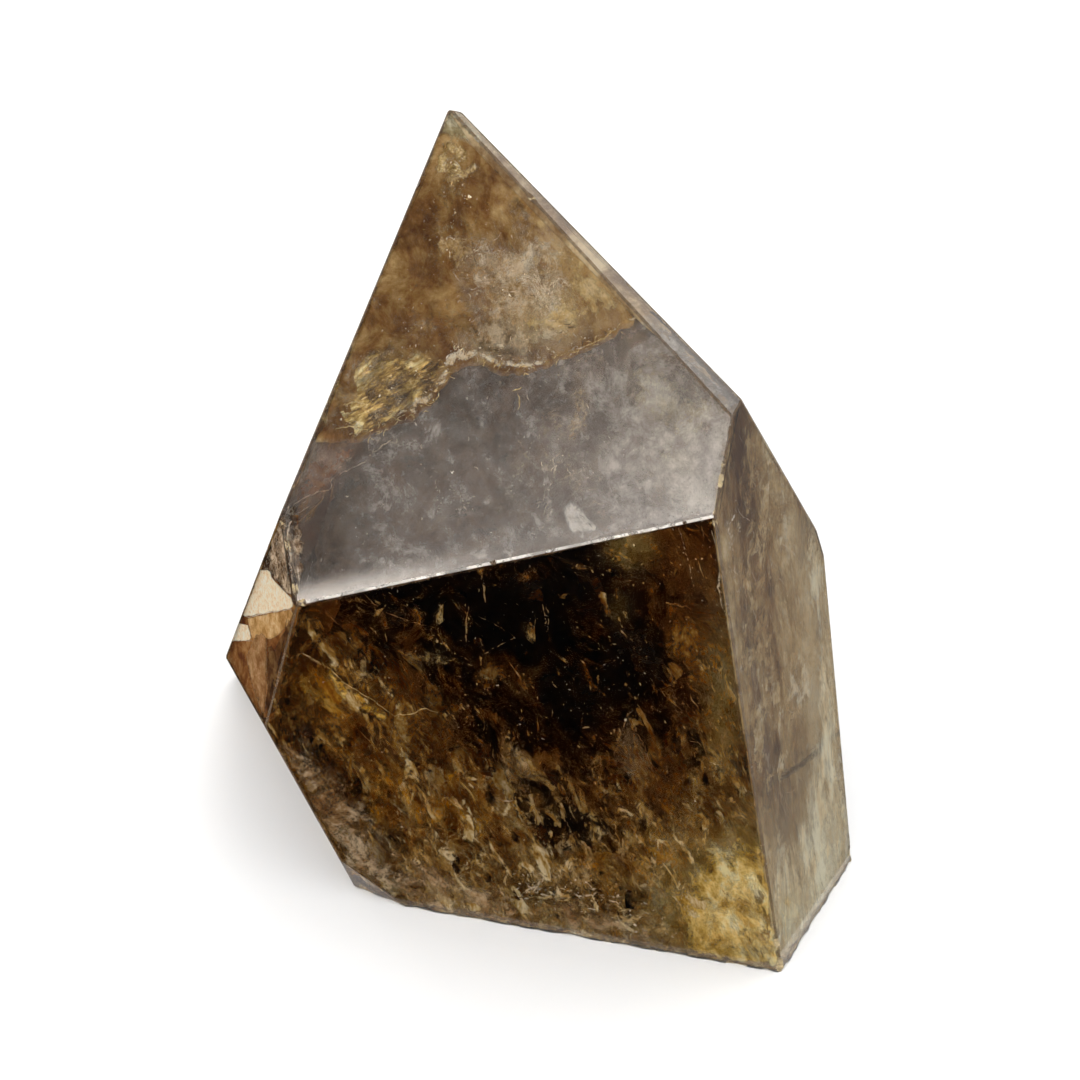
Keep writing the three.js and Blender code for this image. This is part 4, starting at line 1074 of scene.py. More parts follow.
# crumbled plates along the foot, and bright glints among them
CRUMBLE = [(512, 868), (556, 868), (575, 880), (640, 892), (690, 920), (740, 945), (736, 958), (640, 942), (560, 926), (520, 908)]
films("plates_crumble", CRUMBLE, "front_prism", 60, (0.5, 1.2), (0.22, 0.75), film_cream, 424, spread=0.4, thin=(0.2, 0.6), along_px=((520, 880), (560, 895)),
      power=lambda p: np.clip(0.10 + bumps(p, (535, 885, 18, 14, 1.0), (610, 915, 40, 12, 0.4, 15), (690, 940, 40, 10, 0.3, 12)), 0, 1), tone=lambda p: -0.02 * np.ones(len(p)))
films("plates_crumble_tan", CRUMBLE, "front_prism", 130, (0.6, 1.6), (0.16, 0.6), film_gold, 425, spread=0.5, tone=lambda p: -0.05 * np.ones(len(p)))
films("plates_crumble_dark", CRUMBLE, "front_prism", 30, (0.45, 0.9), (0.2, 0.6), film_dark, 426, spread=0.4)
fleck_groups("flecks_prism", [
    (620, 932, 2.6, 16), (535, 884, 9, 14), (548, 896, 7, 8), (576, 892, 6, 7), (600, 905, 8, 7), (655, 935, 8, 8), (690, 944, 9, 8), (724, 952, 9, 8), (748, 955, 7, 8),
    (388, 812, 6, 6), (300, 640, 10, 4), (545, 618, 6, 4), (714, 764, 3, 7), (640, 700, 20, 8), (560, 690, 20, 7), (460, 700, 20, 7), (690, 620, 14, 9), (722, 600, 8, 9),
    (700, 560, 10, 8), (640, 540, 16, 7), (430, 830, 20, 8), (500, 810, 20, 8), (600, 850, 24, 9), (690, 820, 20, 9), (745, 860, 12, 8), (740, 800, 9, 7), (350, 800, 20, 6)],
    "front_prism", (0.5, 2.0), (0.05, 0.24), fleck_bright, 427)
view_veil("veil_smoke_front", P1_ALL, "front_prism", 20.0, 2.0, veil_material(
    "veil_smoke", [(0.3, (0.006, 0.004, 0.002)), (0.7, (0.022, 0.012, 0.005))], scale=200, lo=0.1, hi=0.5, amax=1.0, amin=0.85,
    color_scale=120, fade=False), 60, step=12, edge=0, deep=6.5)

# --- beneath the right prism face: pale streaked haze
rs = seen(np.array([[760, 520], [790, 800]]), "right_prism", 2.0)
R_ROT = grain_rotation(rs[1] - rs[0], PN[NAMES.index("right_prism")])
for i, (dep, lo, hi, am, mn, sc, st, cl) in enumerate([
        (0.7, 0.52, 0.62, 0.6, 0.0, 420, 0.60, 0.5), (1.3, 0.47, 0.66, 0.7, 0.0, 220, 0.36, 0.8),
        (2.2, 0.42, 0.66, 0.85, 0.1, 170, 0.30, 0.7), (3.6, 0.30, 0.60, 0.97, 0.8, 110, 0.3, 0.4)]):
    mat = veil_material(f"veil_right_{i}", [(0.28, (0.13, 0.06, 0.022)), (0.40, (0.34, 0.20, 0.080)), (0.50, (0.62, 0.45, 0.22)), (0.60, (0.90, 0.75, 0.48)), (0.72, (1.0, 0.95, 0.78))],
                        scale=sc, lo=lo, hi=hi, amax=am, amin=mn, rotation=R_ROT, stretch=(st, 1.0, 1.0),
                        shift=(i * 2.1, 4 + i, 0), color_scale=max(240, sc * 1.2), distortion=0.5, clump=cl, crisp=1.15, rough=0.80, detail=8)
    view_veil(f"veil_right_{i}", R_ALL, "right_prism", dep, 0.3 * dep ** 0.5, mat, 70 + i, step=7, edge=3, rim=R_RIM, rim_px=50,
              tone=lambda p, k=i: bumps(p, (733, 450, 10, 50, -0.08, -4), (751, 510, 9, 70, -0.09, -6), (838, 720, 16, 150, 0.09), (787, 835, 13, 34, -0.16), (744, 470, 7, 60, -0.08, -8), (800, 650, 10, 90, 0.04, -6), (775, 640, 8, 90, -0.05, -6),
                                        (745, 620, 14, 90, -0.07, -6), (765, 790, 12, 50, -0.05, -6),
                                        (770, 935, 25, 30, 0.16), (815, 860, 24, 40, 0.18), (728, 548, 14, 24, 0.06), (778, 520, 12, 60, 0.03, -8),
                                        (765, 460, 24, 36, -0.05)) + (0.10 if k == 0 else 0.0))
CRACKLE = [(716, 520), (734, 512), (746, 540), (748, 575), (738, 600), (746, 640), (752, 680), (738, 690), (728, 650), (722, 600)]
view_veil("veil_ridge_crackle", CRACKLE, "right_prism", 0.35, 0.05, veil_material(
    "veil_crackle", [(0.40, (0.40, 0.28, 0.16)), (0.49, (0.70, 0.56, 0.38)), (0.58, (1.0, 0.92, 0.76))], scale=360, lo=0.47, hi=0.56, amax=0.85,
    color_scale=520, web=0.85, web_scale=280, web_width=0.024, web_color=(1.0, 0.92, 0.76), rough=0.84, detail=8, clump=0.4), 77, step=4, edge=9, ragged=3, rim=R_RIM)
# Painted sheen: a pale lilac-grey veil along the ridge to the front face, added to the real reflection of the floor
# along this ridge.
LILAC_SHEEN = [(716, 540), (742, 560), (765, 680), (785, 800), (800, 880), (792, 958), (780, 968), (762, 880), (744, 740), (728, 620)]
view_veil("painted_sheen_strip", LILAC_SHEEN, "right_prism", 0.7, 0.1, veil_material(
    "painted_sheen_lilac", [(0.38, (0.26, 0.18, 0.12)), (0.5, (0.42, 0.31, 0.22)), (0.62, (0.68, 0.56, 0.42))], scale=260, lo=0.40, hi=0.62, amax=0.62,
    amin=0.1, rotation=R_ROT, stretch=(0.3, 1, 1), color_scale=600), 76, step=5, edge=12)
R_IN = [(722, 520), (738, 412), (806, 516), (820, 550), (846, 848), (784, 950)]
view_veil("veil_right_pale", R_ALL, "right_prism", 0.6, 0.1, veil_material(
    "veil_right_pale", [(0.40, (0.60, 0.48, 0.29)), (0.49, (0.90, 0.77, 0.51)), (0.58, (1.0, 0.96, 0.76))], scale=240, lo=0.40, hi=0.57, amax=0.88, amin=0.14,
    rotation=R_ROT, stretch=(0.3, 1, 1), color_scale=480, rough=0.82, clump=0.4, detail=8), 79, step=6, edge=4, rim=R_RIM,
    density=lambda p: np.clip(bumps(p, (828, 700, 14, 130, 0.9), (822, 850, 26, 50, 1.2), (790, 920, 24, 44, 1.1), (812, 560, 12, 40, 0.5)), 0, 1),
    tone=lambda p: bumps(p, (822, 860, 26, 50, 0.05), (785, 940, 20, 30, 0.05)))
view_veil("veil_right_gold", [(766, 900), (790, 880), (806, 900), (792, 960), (780, 968), (768, 950)], "right_prism", 0.5, 0.05, veil_material(
    "veil_right_gold", [(0.40, (0.66, 0.48, 0.20)), (0.49, (0.92, 0.76, 0.42)), (0.58, (1, 0.94, 0.70))], scale=360, lo=0.42, hi=0.56, amax=0.9, amin=0.2,
    rotation=R_ROT, stretch=(0.4, 1, 1), color_scale=480, rough=0.82), 88, step=4, edge=16, ragged=2, rim=R_RIM)
film_streak = veil_material("film_streak", [(0.38, (0.30, 0.19, 0.09)), (0.47, (0.56, 0.40, 0.22)), (0.55, (0.84, 0.70, 0.48)), (0.64, (1, 0.95, 0.82))],
                            scale=500, lo=0.38, hi=0.54, amax=0.85, amin=0.05, rotation=R_ROT, stretch=(0.3, 1, 1), color_scale=700, rough=0.8)
R_PX = ((760, 520), (790, 800))
view_veil("veil_right_crack", [(774, 776), (794, 765), (815, 750), (845, 723), (846, 731), (818, 756), (797, 772), (777, 783)], "right_prism", 0.40, 0.03, veil_material(
    "veil_right_crack", [(0.40, (0.06, 0.035, 0.018)), (0.50, (0.13, 0.085, 0.045)), (0.60, (0.26, 0.18, 0.10))], scale=420, lo=0.30, hi=0.52, amax=0.72, amin=0.35,
    color_scale=520), 89, step=2.5, edge=2.5, ragged=0.8)
films("films_right", R_IN, "right_prism", 150, (0.45, 1.4), (0.2, 1.1), film_streak, 431, spread=0.3, thin=(0.08, 0.3), along_px=R_PX, tone=lambda p: bumps(p, (828, 740, 20, 160, 0.05)))
films("films_right_dark", R_IN, "right_prism", 46, (0.5, 1.2), (0.5, 2.0), film_brown, 432, spread=0.25, thin=(0.08, 0.22), along_px=R_PX,
      power=lambda p: np.clip(0.15 + bumps(p, (740, 460, 14, 60, 0.9), (752, 560, 10, 60, 0.7), (785, 835, 14, 34, 0.6)), 0, 1), tone=lambda p: -0.06 * np.ones(len(p)))
curls("curls_right", R_IN, "right_prism", 60, (8, 34), (0.03, 0.08), (0.45, 1.3), curl_cream, 435, along=81, spread=0.12, turn=0.2,
      power=lambda p: np.clip(0.3 + bumps(p, (735, 560, 14, 60, 0.7), (740, 650, 10, 40, 0.6), (820, 750, 20, 120, 0.3)), 0, 1))
films("films_crackle", CRACKLE, "right_prism", 90, (0.26, 0.5), (0.10, 0.45), film_cream, 433, spread=0.3)
fleck_groups("flecks_right", [
    (746, 458, 5, 5), (733, 520, 6, 8), (740, 545, 6, 9), (729, 580, 5, 7), (742, 640, 7, 8), (748, 690, 5, 5), (775, 500, 12, 5), (790, 600, 18, 8), (770, 700, 18, 7),
    (810, 690, 14, 6), (830, 800, 10, 6), (800, 900, 12, 8), (775, 820, 10, 5), (789, 955, 5, 6), (766, 610, 10, 5), (820, 600, 8, 4)],
    "right_prism", (0.4, 1.2), (0.05, 0.18), fleck_pale, 434)

# --- beneath the crest and the small left facet
view_veil("veil_crest", CREST, "crest", 0.30, 0.05, veil_material(
    "veil_crest", [(0.36, (0.22, 0.12, 0.045)), (0.46, (0.32, 0.20, 0.095)), (0.54, (0.50, 0.36, 0.19)), (0.64, (0.80, 0.66, 0.42))], scale=220, lo=0.1, hi=0.6, amax=0.97, amin=0.8,
    color_scale=300), 78, step=4, edge=0.5, tone=lambda p: 0.015 + bumps(p, (464, 126, 12, 14, 0.10), (590, 262, 14, 14, 0.07), (690, 355, 30, 26, 0.05), (625, 297, 12, 12, -0.05),
                                                                  (520, 192, 24, 24, -0.04)))
films("films_crest", [(462, 124), (470, 126), (640, 292), (720, 372), (712, 376), (640, 308), (540, 210), (480, 150)], "crest", 90, (0.24, 0.34), (0.10, 0.5), film_cream, 441,
      spread=0.1, thin=(0.2, 0.6), power=lambda p: np.clip(0.06 + bumps(p, (590, 262, 20, 20, 0.5), (700, 360, 40, 30, 0.5)), 0, 1), tone=lambda p: -0.07 * np.ones(len(p)))
# the small left facet: reddish tan, broken by bright healed cracks with straight edges
view_veil("veil_left", L_ALL, "left_notch", 0.8, 0.2, veil_material(
    "veil_tan", [(0.36, (0.15, 0.045, 0.012)), (0.48, (0.34, 0.135, 0.036)), (0.60, (0.62, 0.33, 0.115))], scale=300, lo=0.2, hi=0.5, amax=0.97,
    amin=0.85, color_scale=380), 80, step=5, edge=1, tone=lambda p: bumps(p, (240, 665, 10, 16, -0.04), (236, 640, 8, 8, -0.05)))
LEFT_CREAM = veil_material("veil_left_cream", [(0.38, (0.82, 0.60, 0.36)), (0.46, (1, 0.83, 0.58)), (0.53, (1, 0.93, 0.74)), (0.62, (1, 1, 0.92))], scale=420, lo=0.20, hi=0.44,
                           amax=1.0, amin=0.95, color_scale=2400, glitter=0.8, shine=0.45, through=0.10, rough=0.84, bump=0.00004, bump_scale=4000, crisp=1.0)
view_veil("veil_left_grey", [(287, 500), (296, 545), (298, 598), (284, 592), (270, 574), (262, 570), (272, 542)], "left_notch", 0.6, 0.05, veil_material(
    "veil_left_grey", [(0.40, (0.04, 0.022, 0.012)), (0.48, (0.15, 0.09, 0.05)), (0.55, (0.44, 0.29, 0.17)), (0.62, (1.0, 0.84, 0.62))], scale=420, lo=0.24, hi=0.46,
    amax=0.97, amin=0.7, color_scale=420, web=0.5, web_scale=300, web_width=0.018, web_color=(1.0, 0.88, 0.68), crisp=1.3), 82, step=3, edge=3, ragged=1.5)
view_veil("veil_left_dark", [(268, 642), (274, 650), (287, 626), (297, 604), (269, 724), (266, 700)], "left_notch", 0.55, 0.05, veil_material(
    "veil_left_dark", [(0.38, (0.07, 0.026, 0.006)), (0.5, (0.15, 0.065, 0.018)), (0.62, (0.32, 0.17, 0.06))], scale=420, lo=0.2, hi=0.5, amax=0.97,
    amin=0.85, color_scale=600), 83, step=3, edge=1.2, ragged=0.8)
view_veil("veil_left_orange", [(247, 618), (270, 613), (291, 609), (294, 613), (288, 626), (278, 636), (268, 641), (262, 634), (252, 641)], "left_notch", 0.50, 0.05,
          veil_material("veil_left_orange", [(0.38, (0.48, 0.25, 0.075)), (0.5, (0.80, 0.50, 0.20)), (0.62, (1.0, 0.80, 0.46))], scale=420, lo=0.2, hi=0.5, amax=0.97,
                        amin=0.8, color_scale=620), 84, step=3, edge=1.2)
view_veil("veil_left_band", [(256, 634), (266, 630), (268, 642), (266.5, 700), (266, 722), (259, 708), (251, 684), (246, 656)], "left_notch", 0.45, 0.04, veil_material(
    "veil_left_band", [(0.38, (0.28, 0.125, 0.042)), (0.5, (0.48, 0.26, 0.105)), (0.62, (0.78, 0.52, 0.26))], scale=360, lo=0.24, hi=0.5, amax=0.95,
    amin=0.6, color_scale=520), 85, step=3, edge=2.5)
view_veil("veil_left_patch", [(242, 617.5), (247, 603), (254, 586), (260, 570), (270, 569), (272, 577), (279, 585), (287, 593), (294, 601), (293, 608.3), (268, 613)], "left_notch", 0.34, 0.02,
          LEFT_CREAM, 81, step=2.5, edge=0.6, ragged=0.4)
view_veil("veil_left_patch_low", [(229, 641), (234, 629), (239, 623), (248, 625), (251, 634), (252, 640.7)], "left_notch", 0.34, 0.02, LEFT_CREAM, 86, step=2.5, edge=0.6, ragged=0.4)
films("films_left", [(284, 512), (292, 545), (294, 596), (272, 572), (262, 568)], "left_notch", 34, (0.3, 0.45), (0.10, 0.5), film_cream, 442, spread=0.25)
films("films_left_low", [(262, 640), (266, 650), (265, 712), (240, 668), (238, 650)], "left_notch", 30, (0.3, 0.42), (0.10, 0.4), film_gold, 443, spread=0.25)
ribbons("edges_left", [
    ([(246, 617.5), (268, 613), (291.5, 608.5)], 0.10, 0.32), ([(232, 641), (252, 641)], 0.08, 0.32)],
    "left_notch", curl_cream, 444, lean=0.1)
# a bright healed crack follows the ridge between the slope and the small left facet
ribbons("edge_line_left", [
    ([(298, 522), (291, 521), (288, 529), (286.5, 541), (289, 549), (290.5, 556), (289.5, 566), (292.5, 577), (291.5, 588), (295, 597), (302, 603)], 0.24, 0.24),
    ([(297, 546), (300, 560), (298, 574), (301, 590)], 0.10, 0.4)], "front_slope", curl_cream, 445, lean=0.1)

# --- beneath the facets that face away: the same brown and gold haze
for i, (facet, dep) in enumerate([("left_slope", 1.6), ("right_slope", 1.6), ("back_right_prism", 2.0), ("back_prism", 2.4),
                                  ("back_left_prism", 2.2), ("back_slope", 2.0), ("left_undercut", 1.2), ("shoulder", 1.4), ("foot_corner", 0.9)]):
    poly = facet_outline(facet)[0]
    if poly is None or len(poly) < 3:
        continue
    for k, (dd, lo, hi, am, mn, sc, st, cl) in enumerate([
            (dep * 0.45, 0.56, 0.66, 0.8, 0.0, 620, 0.4, 0.6), (dep * 1.2, 0.48, 0.68, 0.9, 0.0, 260, 0.5, 0.8), (dep * 2.8, 0.40, 0.68, 0.97, 0.35, 130, 0.6, 0.6)]):
        facet_veil(f"veil_{facet}_{k}", facet, dd, 0.25 * dd, veil_material(
            f"veil_{facet}_{k}", [(0.30, (0.05, 0.016, 0.002)), (0.42, (0.17, 0.065, 0.010)), (0.53, (0.40, 0.21, 0.05)), (0.63, (0.74, 0.50, 0.19)), (0.74, (1.0, 0.86, 0.54))],
            scale=sc, lo=lo, hi=hi, amax=am, amin=mn, shift=(i * 1.9, k * 3.3, i), distortion=0.7, stretch=(1, 1, st), clump=cl,
            color_scale=max(240, sc * 0.9), web=0.6 if k == 0 else 0.0, web_scale=240, web_width=0.018, web_color=(0.96, 0.84, 0.60), crisp=1.4, rough=0.8,
            detail=8), 300 + 10 * i + k, step=1.1)

# --- just above the sawn base: iron-stained, crumbled skin
rng = np.random.default_rng(5)
base_poly = facet_outline("base")[0]
bp_, bn, bd, bu, bw = facet_outline("base")
gv, gf = polygon_grid(bp_ / MM, 1.1, rng)
gz = 0.30 + 0.12 * wave(gv, 0.3, 9)
base_pts = gv[:, :1] * MM * bu + gv[:, 1:] * MM * bw + np.array([0.0, 0.0, 1.0]) * gz[:, None] * MM
add_piece("veil_base", keep_inside(base_pts), gf, veil_material(
    "veil_base", [(0.36, (0.18, 0.09, 0.02)), (0.47, (0.44, 0.26, 0.07)), (0.56, (0.72, 0.5, 0.18)), (0.66, (1, 0.85, 0.52))],
    scale=420, lo=0.25, hi=0.5, amax=0.97, amin=0.6, color_scale=700, web=0.5, web_scale=240), fade=np.ones(len(gv)), smooth=True)
# the same iron-stained skin climbs a little way up every facet that meets the base
ridge_veil("veil_rim_foot", veil_material(
    "veil_rim_foot", [(0.40, (0.10, 0.046, 0.016)), (0.48, (0.26, 0.155, 0.062)), (0.56, (0.52, 0.38, 0.18)), (0.64, (0.88, 0.76, 0.50))], scale=520, lo=0.40, hi=0.56, amax=0.95,
    amin=0.1, color_scale=420, rough=0.84, detail=8), [ridge_strip(f, "base", reach=(1.3, 1.2), depth=0.12, seed=500 + k) for k, f in enumerate(FACETS)])

# --- fine lines: healed cracks, wisps and outlines of small windows
pale_line = line_material("line_pale", [(0.35, (0.50, 0.38, 0.22)), (0.6, (0.95, 0.84, 0.66))])
tan_line = line_material("line_tan", [(0.35, (0.24, 0.13, 0.05)), (0.6, (0.62, 0.42, 0.20))])
gold_line = line_material("line_gold", [(0.35, (0.46, 0.30, 0.09)), (0.6, (1.0, 0.82, 0.44))], 0.95, 0.36, 0.5)
dark_line = line_material("line_dark", [(0.35, (0.012, 0.008, 0.006)), (0.6, (0.05, 0.03, 0.02))], 0.95, 0.36, 0.5)
ribbons("wisps_slope", [
    ([(287, 509), (300, 500), (318, 492), (330, 490), (332, 478), (340, 474), (352, 468), (367, 460), (381, 437)], 0.14, 1.0),
    ([(296, 516), (310, 505), (322, 498)], 0.12, 1.1),
    ([(365, 448), (374, 452), (382, 446), (392, 440)], 0.22, 1.0),
    ([(553, 482), (556, 470), (552, 460), (560, 452)], 0.20, 1.0),
    ([(566, 468), (572, 474), (563, 478)], 0.16, 1.0),
    ([(542, 520), (546, 506), (556, 497)], 0.12, 1.2),
    ([(668, 496), (676, 518)], 0.18, 1.2),
    ([(565, 505), (572, 514), (588, 530), (575, 531), (567, 520)], 0.22, 0.9),
    ([(592, 500), (600, 505), (612, 500)], 0.10, 1.0)], "front_slope", pale_line, 201)
ribbons("marks_slope", [
    ([(576, 509), (584, 517), (592, 526), (604, 534)], 0.42, 0.6), ([(574, 508), (582, 512)], 0.5, 0.6),
    ([(512, 414), (515, 406), (516, 398)], 0.55, 0.8),
    ([(546, 490), (556, 482)], 0.14, 0.8),
    ([(612, 449), (640, 452), (656, 450)], 0.10, 1.0)], "front_slope", dark_line, 202)
ribbons("gold_marks_slope", [
    ([(518, 410), (520, 402), (518, 394)], 0.22, 0.7), ([(512, 392), (517, 389), (523, 387)], 0.16, 0.7),
    ([(560, 355), (582, 348), (604, 338), (624, 322), (644, 315)], 0.16, 0.8),
    ([(330, 430), (350, 426), (372, 431)], 0.2, 0.9),
    ([(338, 410), (352, 402), (366, 404)], 0.2, 0.9)], "front_slope", gold_line, 203)
ribbons("windows_prism", [
    ([(468, 606), (467, 622), (465, 644)], 0.16, 1.6),
    ([(472, 613), (490, 621), (515, 637)], 0.14, 1.6),
    ([(515, 637), (500, 645), (482, 655)], 0.10, 1.6),
    ([(480, 567), (484, 586), (485, 603)], 0.18, 1.4),
    ([(542, 603), (545, 618), (547, 632)], 0.18, 1.6),
    ([(546, 604), (549, 618), (547, 632)], 0.10, 1.6),
    ([(628, 713), (620, 736), (613, 760)], 0.12, 2.0),
    ([(628, 713), (644, 745), (664, 798)], 0.12, 2.0),
    ([(613, 760), (630, 764), (640, 770)], 0.08, 2.0),
    ([(278, 664), (302, 653), (320, 664), (331, 669)], 0.10, 1.2),
    ([(363, 594), (376, 606), (388, 613), (410, 621), (437, 628)], 0.14, 1.6),
    ([(380, 818), (396, 817), (408, 824)], 0.10, 1.0),
    ([(665, 603), (680, 605), (692, 609)], 0.09, 1.2),
    ([(560, 810), (572, 832), (578, 840)], 0.10, 1.2),
    ([(415, 700), (432, 712), (440, 712)], 0.12, 1.2)], "front_prism", tan_line, 204)
ribbons("glints_prism", [
    ([(668, 500), (682, 537), (695, 590)], 0.10, 1.2),
    ([(707, 761), (714, 764), (720, 765)], 0.22, 0.9),
    ([(520, 896), (532, 888), (544, 878)], 0.34, 1.0),
    ([(524, 880), (534, 892), (556, 898)], 0.26, 1.0),
    ([(548, 872), (538, 884), (530, 898)], 0.20, 1.0),
    ([(560, 888), (580, 896), (600, 893)], 0.22, 1.0),
    ([(585, 880), (600, 896), (622, 905)], 0.18, 1.2),
    ([(496, 798), (508, 802), (514, 800)], 0.18, 1.0)], "front_prism", pale_line, 205)
view_veil("veil_wedge", [(322, 662), (336, 674), (352, 688), (372, 700), (394, 716), (384, 723), (362, 714), (342, 700), (328, 682)], "front_prism", 0.9, 0.1, veil_material(
    "veil_wedge", [(0.34, (0.34, 0.15, 0.015)), (0.48, (0.66, 0.38, 0.06)), (0.60, (1.0, 0.74, 0.24))], scale=620, lo=0.36, hi=0.56, amax=0.95, color_scale=700,
    rough=0.78), 111, step=3, edge=4, ragged=1.5)
view_veil("veil_triangle", [(628, 711), (646, 748), (666, 800), (640, 790), (612, 762)], "front_prism", 1.9, 0.1, veil_material(
    "veil_triangle", [(0.38, (0.14, 0.075, 0.028)), (0.5, (0.28, 0.175, 0.080)), (0.62, (0.54, 0.38, 0.20))], scale=300, lo=0.40, hi=0.60, amax=0.55, amin=0.12,
    color_scale=480, rough=0.82), 112, step=4, edge=1.2)
view_veil("veil_tan_cloud", [(488, 740), (505, 728), (530, 740), (545, 770), (540, 806), (512, 808), (494, 780)], "front_prism", 1.6, 0.3, veil_material(
    "veil_tan_cloud", [(0.40, (0.16, 0.085, 0.028)), (0.49, (0.36, 0.235, 0.105)), (0.58, (0.70, 0.53, 0.30))], scale=300, lo=0.44, hi=0.58, amax=0.8, rotation=FIBRE_ROT,
    stretch=(0.35, 1, 1), color_scale=480, rough=0.82, detail=8), 113, step=4, edge=14)
view_veil("veil_window", [(417, 653), (428, 650), (442, 653), (456, 661), (448, 666), (430, 665), (418, 660)], "front_prism", 1.2, 0.05, veil_material(
    "veil_window", [(0.42, (0.10, 0.055, 0.016)), (0.50, (0.26, 0.185, 0.075)), (0.58, (0.56, 0.46, 0.24))], scale=420, lo=0.46, hi=0.56, amax=0.8, amin=0.1, rotation=FIBRE_ROT,
    color_scale=520, rough=0.84), 114, step=2.5, edge=1.5, ragged=0.8)
ribbons("wedge_prism", [
    ([(302, 653), (312, 658), (325, 666)], 0.10, 0.9), ([(394, 716), (412, 714), (424, 708), (437, 712)], 0.10, 1.0),
    ([(322, 662), (346, 684), (372, 700), (394, 716)], 0.09, 0.8)], "front_prism", gold_line, 206, lean=0.15)
crack_line = line_material("line_crack", [(0.35, (0.06, 0.034, 0.018)), (0.6, (0.20, 0.13, 0.075))], 0.85, 0.30, 0.52)
ribbons("crack_right", [
    ([(774, 780), (794, 769), (815, 754), (845, 727)], 0.20, 0.34), ([(798, 762), (812, 750), (830, 738)], 0.12, 0.6)], "right_prism", crack_line, 207)
ribbons("streaks_right", [
    ([(742, 560), (748, 620), (756, 700)], 0.14, 0.7), ([(760, 480), (768, 560), (774, 640)], 0.12, 0.8),
    ([(752, 440), (762, 500), (768, 540)], 0.12, 0.8), ([(800, 560), (806, 640), (812, 700)], 0.12, 0.8),
    ([(716, 530), (726, 560), (722, 590), (730, 615)], 0.22, 0.6), ([(722, 540), (734, 550), (728, 566), (738, 575)], 0.20, 0.6)],
    "right_prism", pale_line, 208)

# --- flakes and glints
gold_flake = flake_material("flake_gold", (0.58, 0.38, 0.12), (1.0, 0.84, 0.46), metallic=0.3, rough=0.35)
pale_flake = flake_material("flake_pale", (0.72, 0.60, 0.42), (1.0, 0.95, 0.84), metallic=0.0, rough=0.4)
flakes("flakes_fan", FAN, "front_slope", 320, (0.7, 1.6), (0.10, 0.6), gold_flake, 101, spread=0.55, thin=0.3,
       along_px=((330, 430), (420, 380)))
flakes("flakes_tip", [(430, 150), (470, 148), (478, 180), (440, 190)], "front_slope", 60, (0.6, 1.6), (0.10, 0.45), gold_flake, 108, spread=0.7, thin=0.5)
flakes("flakes_upper", F1_UPPER, "front_slope", 260, (0.5, 2.4), (0.06, 0.20), pale_flake, 102, spread=0.6, thin=0.6)
flakes("flakes_cream", CREAM, "front_slope", 220, (0.5, 1.2), (0.06, 0.22), pale_flake, 103, spread=0.5, thin=0.6)
flakes("flakes_lower", F1_LOWER, "front_slope", 360, (0.5, 2.6), (0.05, 0.17), pale_flake, 104, spread=0.6, thin=0.6)
flakes("flakes_prism", P1_ALL, "front_prism", 1500, (0.7, 9.0), (0.07, 0.36), gold_flake, 105, spread=0.8, thin=0.25,
       along_px=((520, 640), (560, 735)), power=p1_low)
flakes("flakes_prism_pale", P1_ALL, "front_prism", 600, (0.7, 6.0), (0.06, 0.26), pale_flake, 106, spread=0.8, thin=0.3, power=p1_low)
flakes("flakes_crumble", [(515, 868), (560, 872), (640, 900), (690, 935), (640, 948), (560, 925), (515, 905)], "front_prism", 110, (0.5, 1.4), (0.10, 0.34),
       pale_flake, 109, spread=0.4, thin=0.6)
view_veil("veil_crumble", [(508, 866), (560, 870), (640, 896), (694, 930), (680, 946), (620, 944), (560, 930), (510, 910)], "front_prism", 0.9, 0.2, veil_material(
    "veil_crumble", [(0.34, (0.26, 0.13, 0.035)), (0.47, (0.56, 0.37, 0.14)), (0.58, (0.88, 0.7, 0.38)), (0.7, (1, 0.95, 0.78))], scale=620, lo=0.51, hi=0.62, amax=0.9,
    color_scale=700, rotation=FIBRE_ROT, stretch=(1.0, 0.5, 1.0), rough=0.80, clump=0.9), 110, step=5, edge=12, ragged=3)
flakes("flakes_right", R_ALL, "right_prism", 320, (0.5, 2.0), (0.06, 0.2), pale_flake, 107, spread=0.6, thin=0.5)

# ------------------------------------------------------------------ stage
bpy.ops.mesh.primitive_plane_add(size=8, location=(0, 0, 0))
floor = bpy.context.object
floor.name = "floor"
fm, N, L = new_mat("floor_pale")
o_ = N.new("ShaderNodeOutputMaterial")
b_ = N.new("ShaderNodeBsdfPrincipled")
b_.inputs["Base Color"].default_value = (0.80, 0.81, 0.82, 1)
b_.inputs["Roughness"].default_value = 0.85
b_.inputs["Specular IOR Level"].default_value = 0.0
L.new(b_.outputs[0], o_.inputs["Surface"])
floor.data.materials.append(fm)


def panel(name, corners, mat, matrix=None):
    """A flat card or softbox that the camera doesn't see, sized in metres."""
    me = bpy.data.meshes.new(name)
    me.from_pydata([(*c, 0.0) for c in corners], [], [tuple(range(len(corners)))])
    me.materials.append(mat)
    o = bpy.data.objects.new(name, me)
    SC.collection.objects.link(o)
    if matrix is not None:
        o.matrix_world = matrix
    o.visible_camera = False
    return o


def axes(x, y, at):
    x, y = Vector(x).normalized(), Vector(y).normalized()
    z = x.cross(y)
    return Matrix(((x.x, y.x, z.x, at[0]), (x.y, y.y, z.y, at[1]), (x.z, y.z, z.z, at[2]), (0, 0, 0, 1)))


def rect(w, h):
    return [(-w / 2, -h / 2), (w / 2, -h / 2), (w / 2, h / 2), (-w / 2, h / 2)]


def xy_of(N, L):
    tc = N.new("ShaderNodeTexCoord")
    sx = N.new("ShaderNodeSeparateXYZ")
    L.new(tc.outputs["Object"], sx.inputs[0])
    return sx.outputs["X"], sx.outputs["Y"]


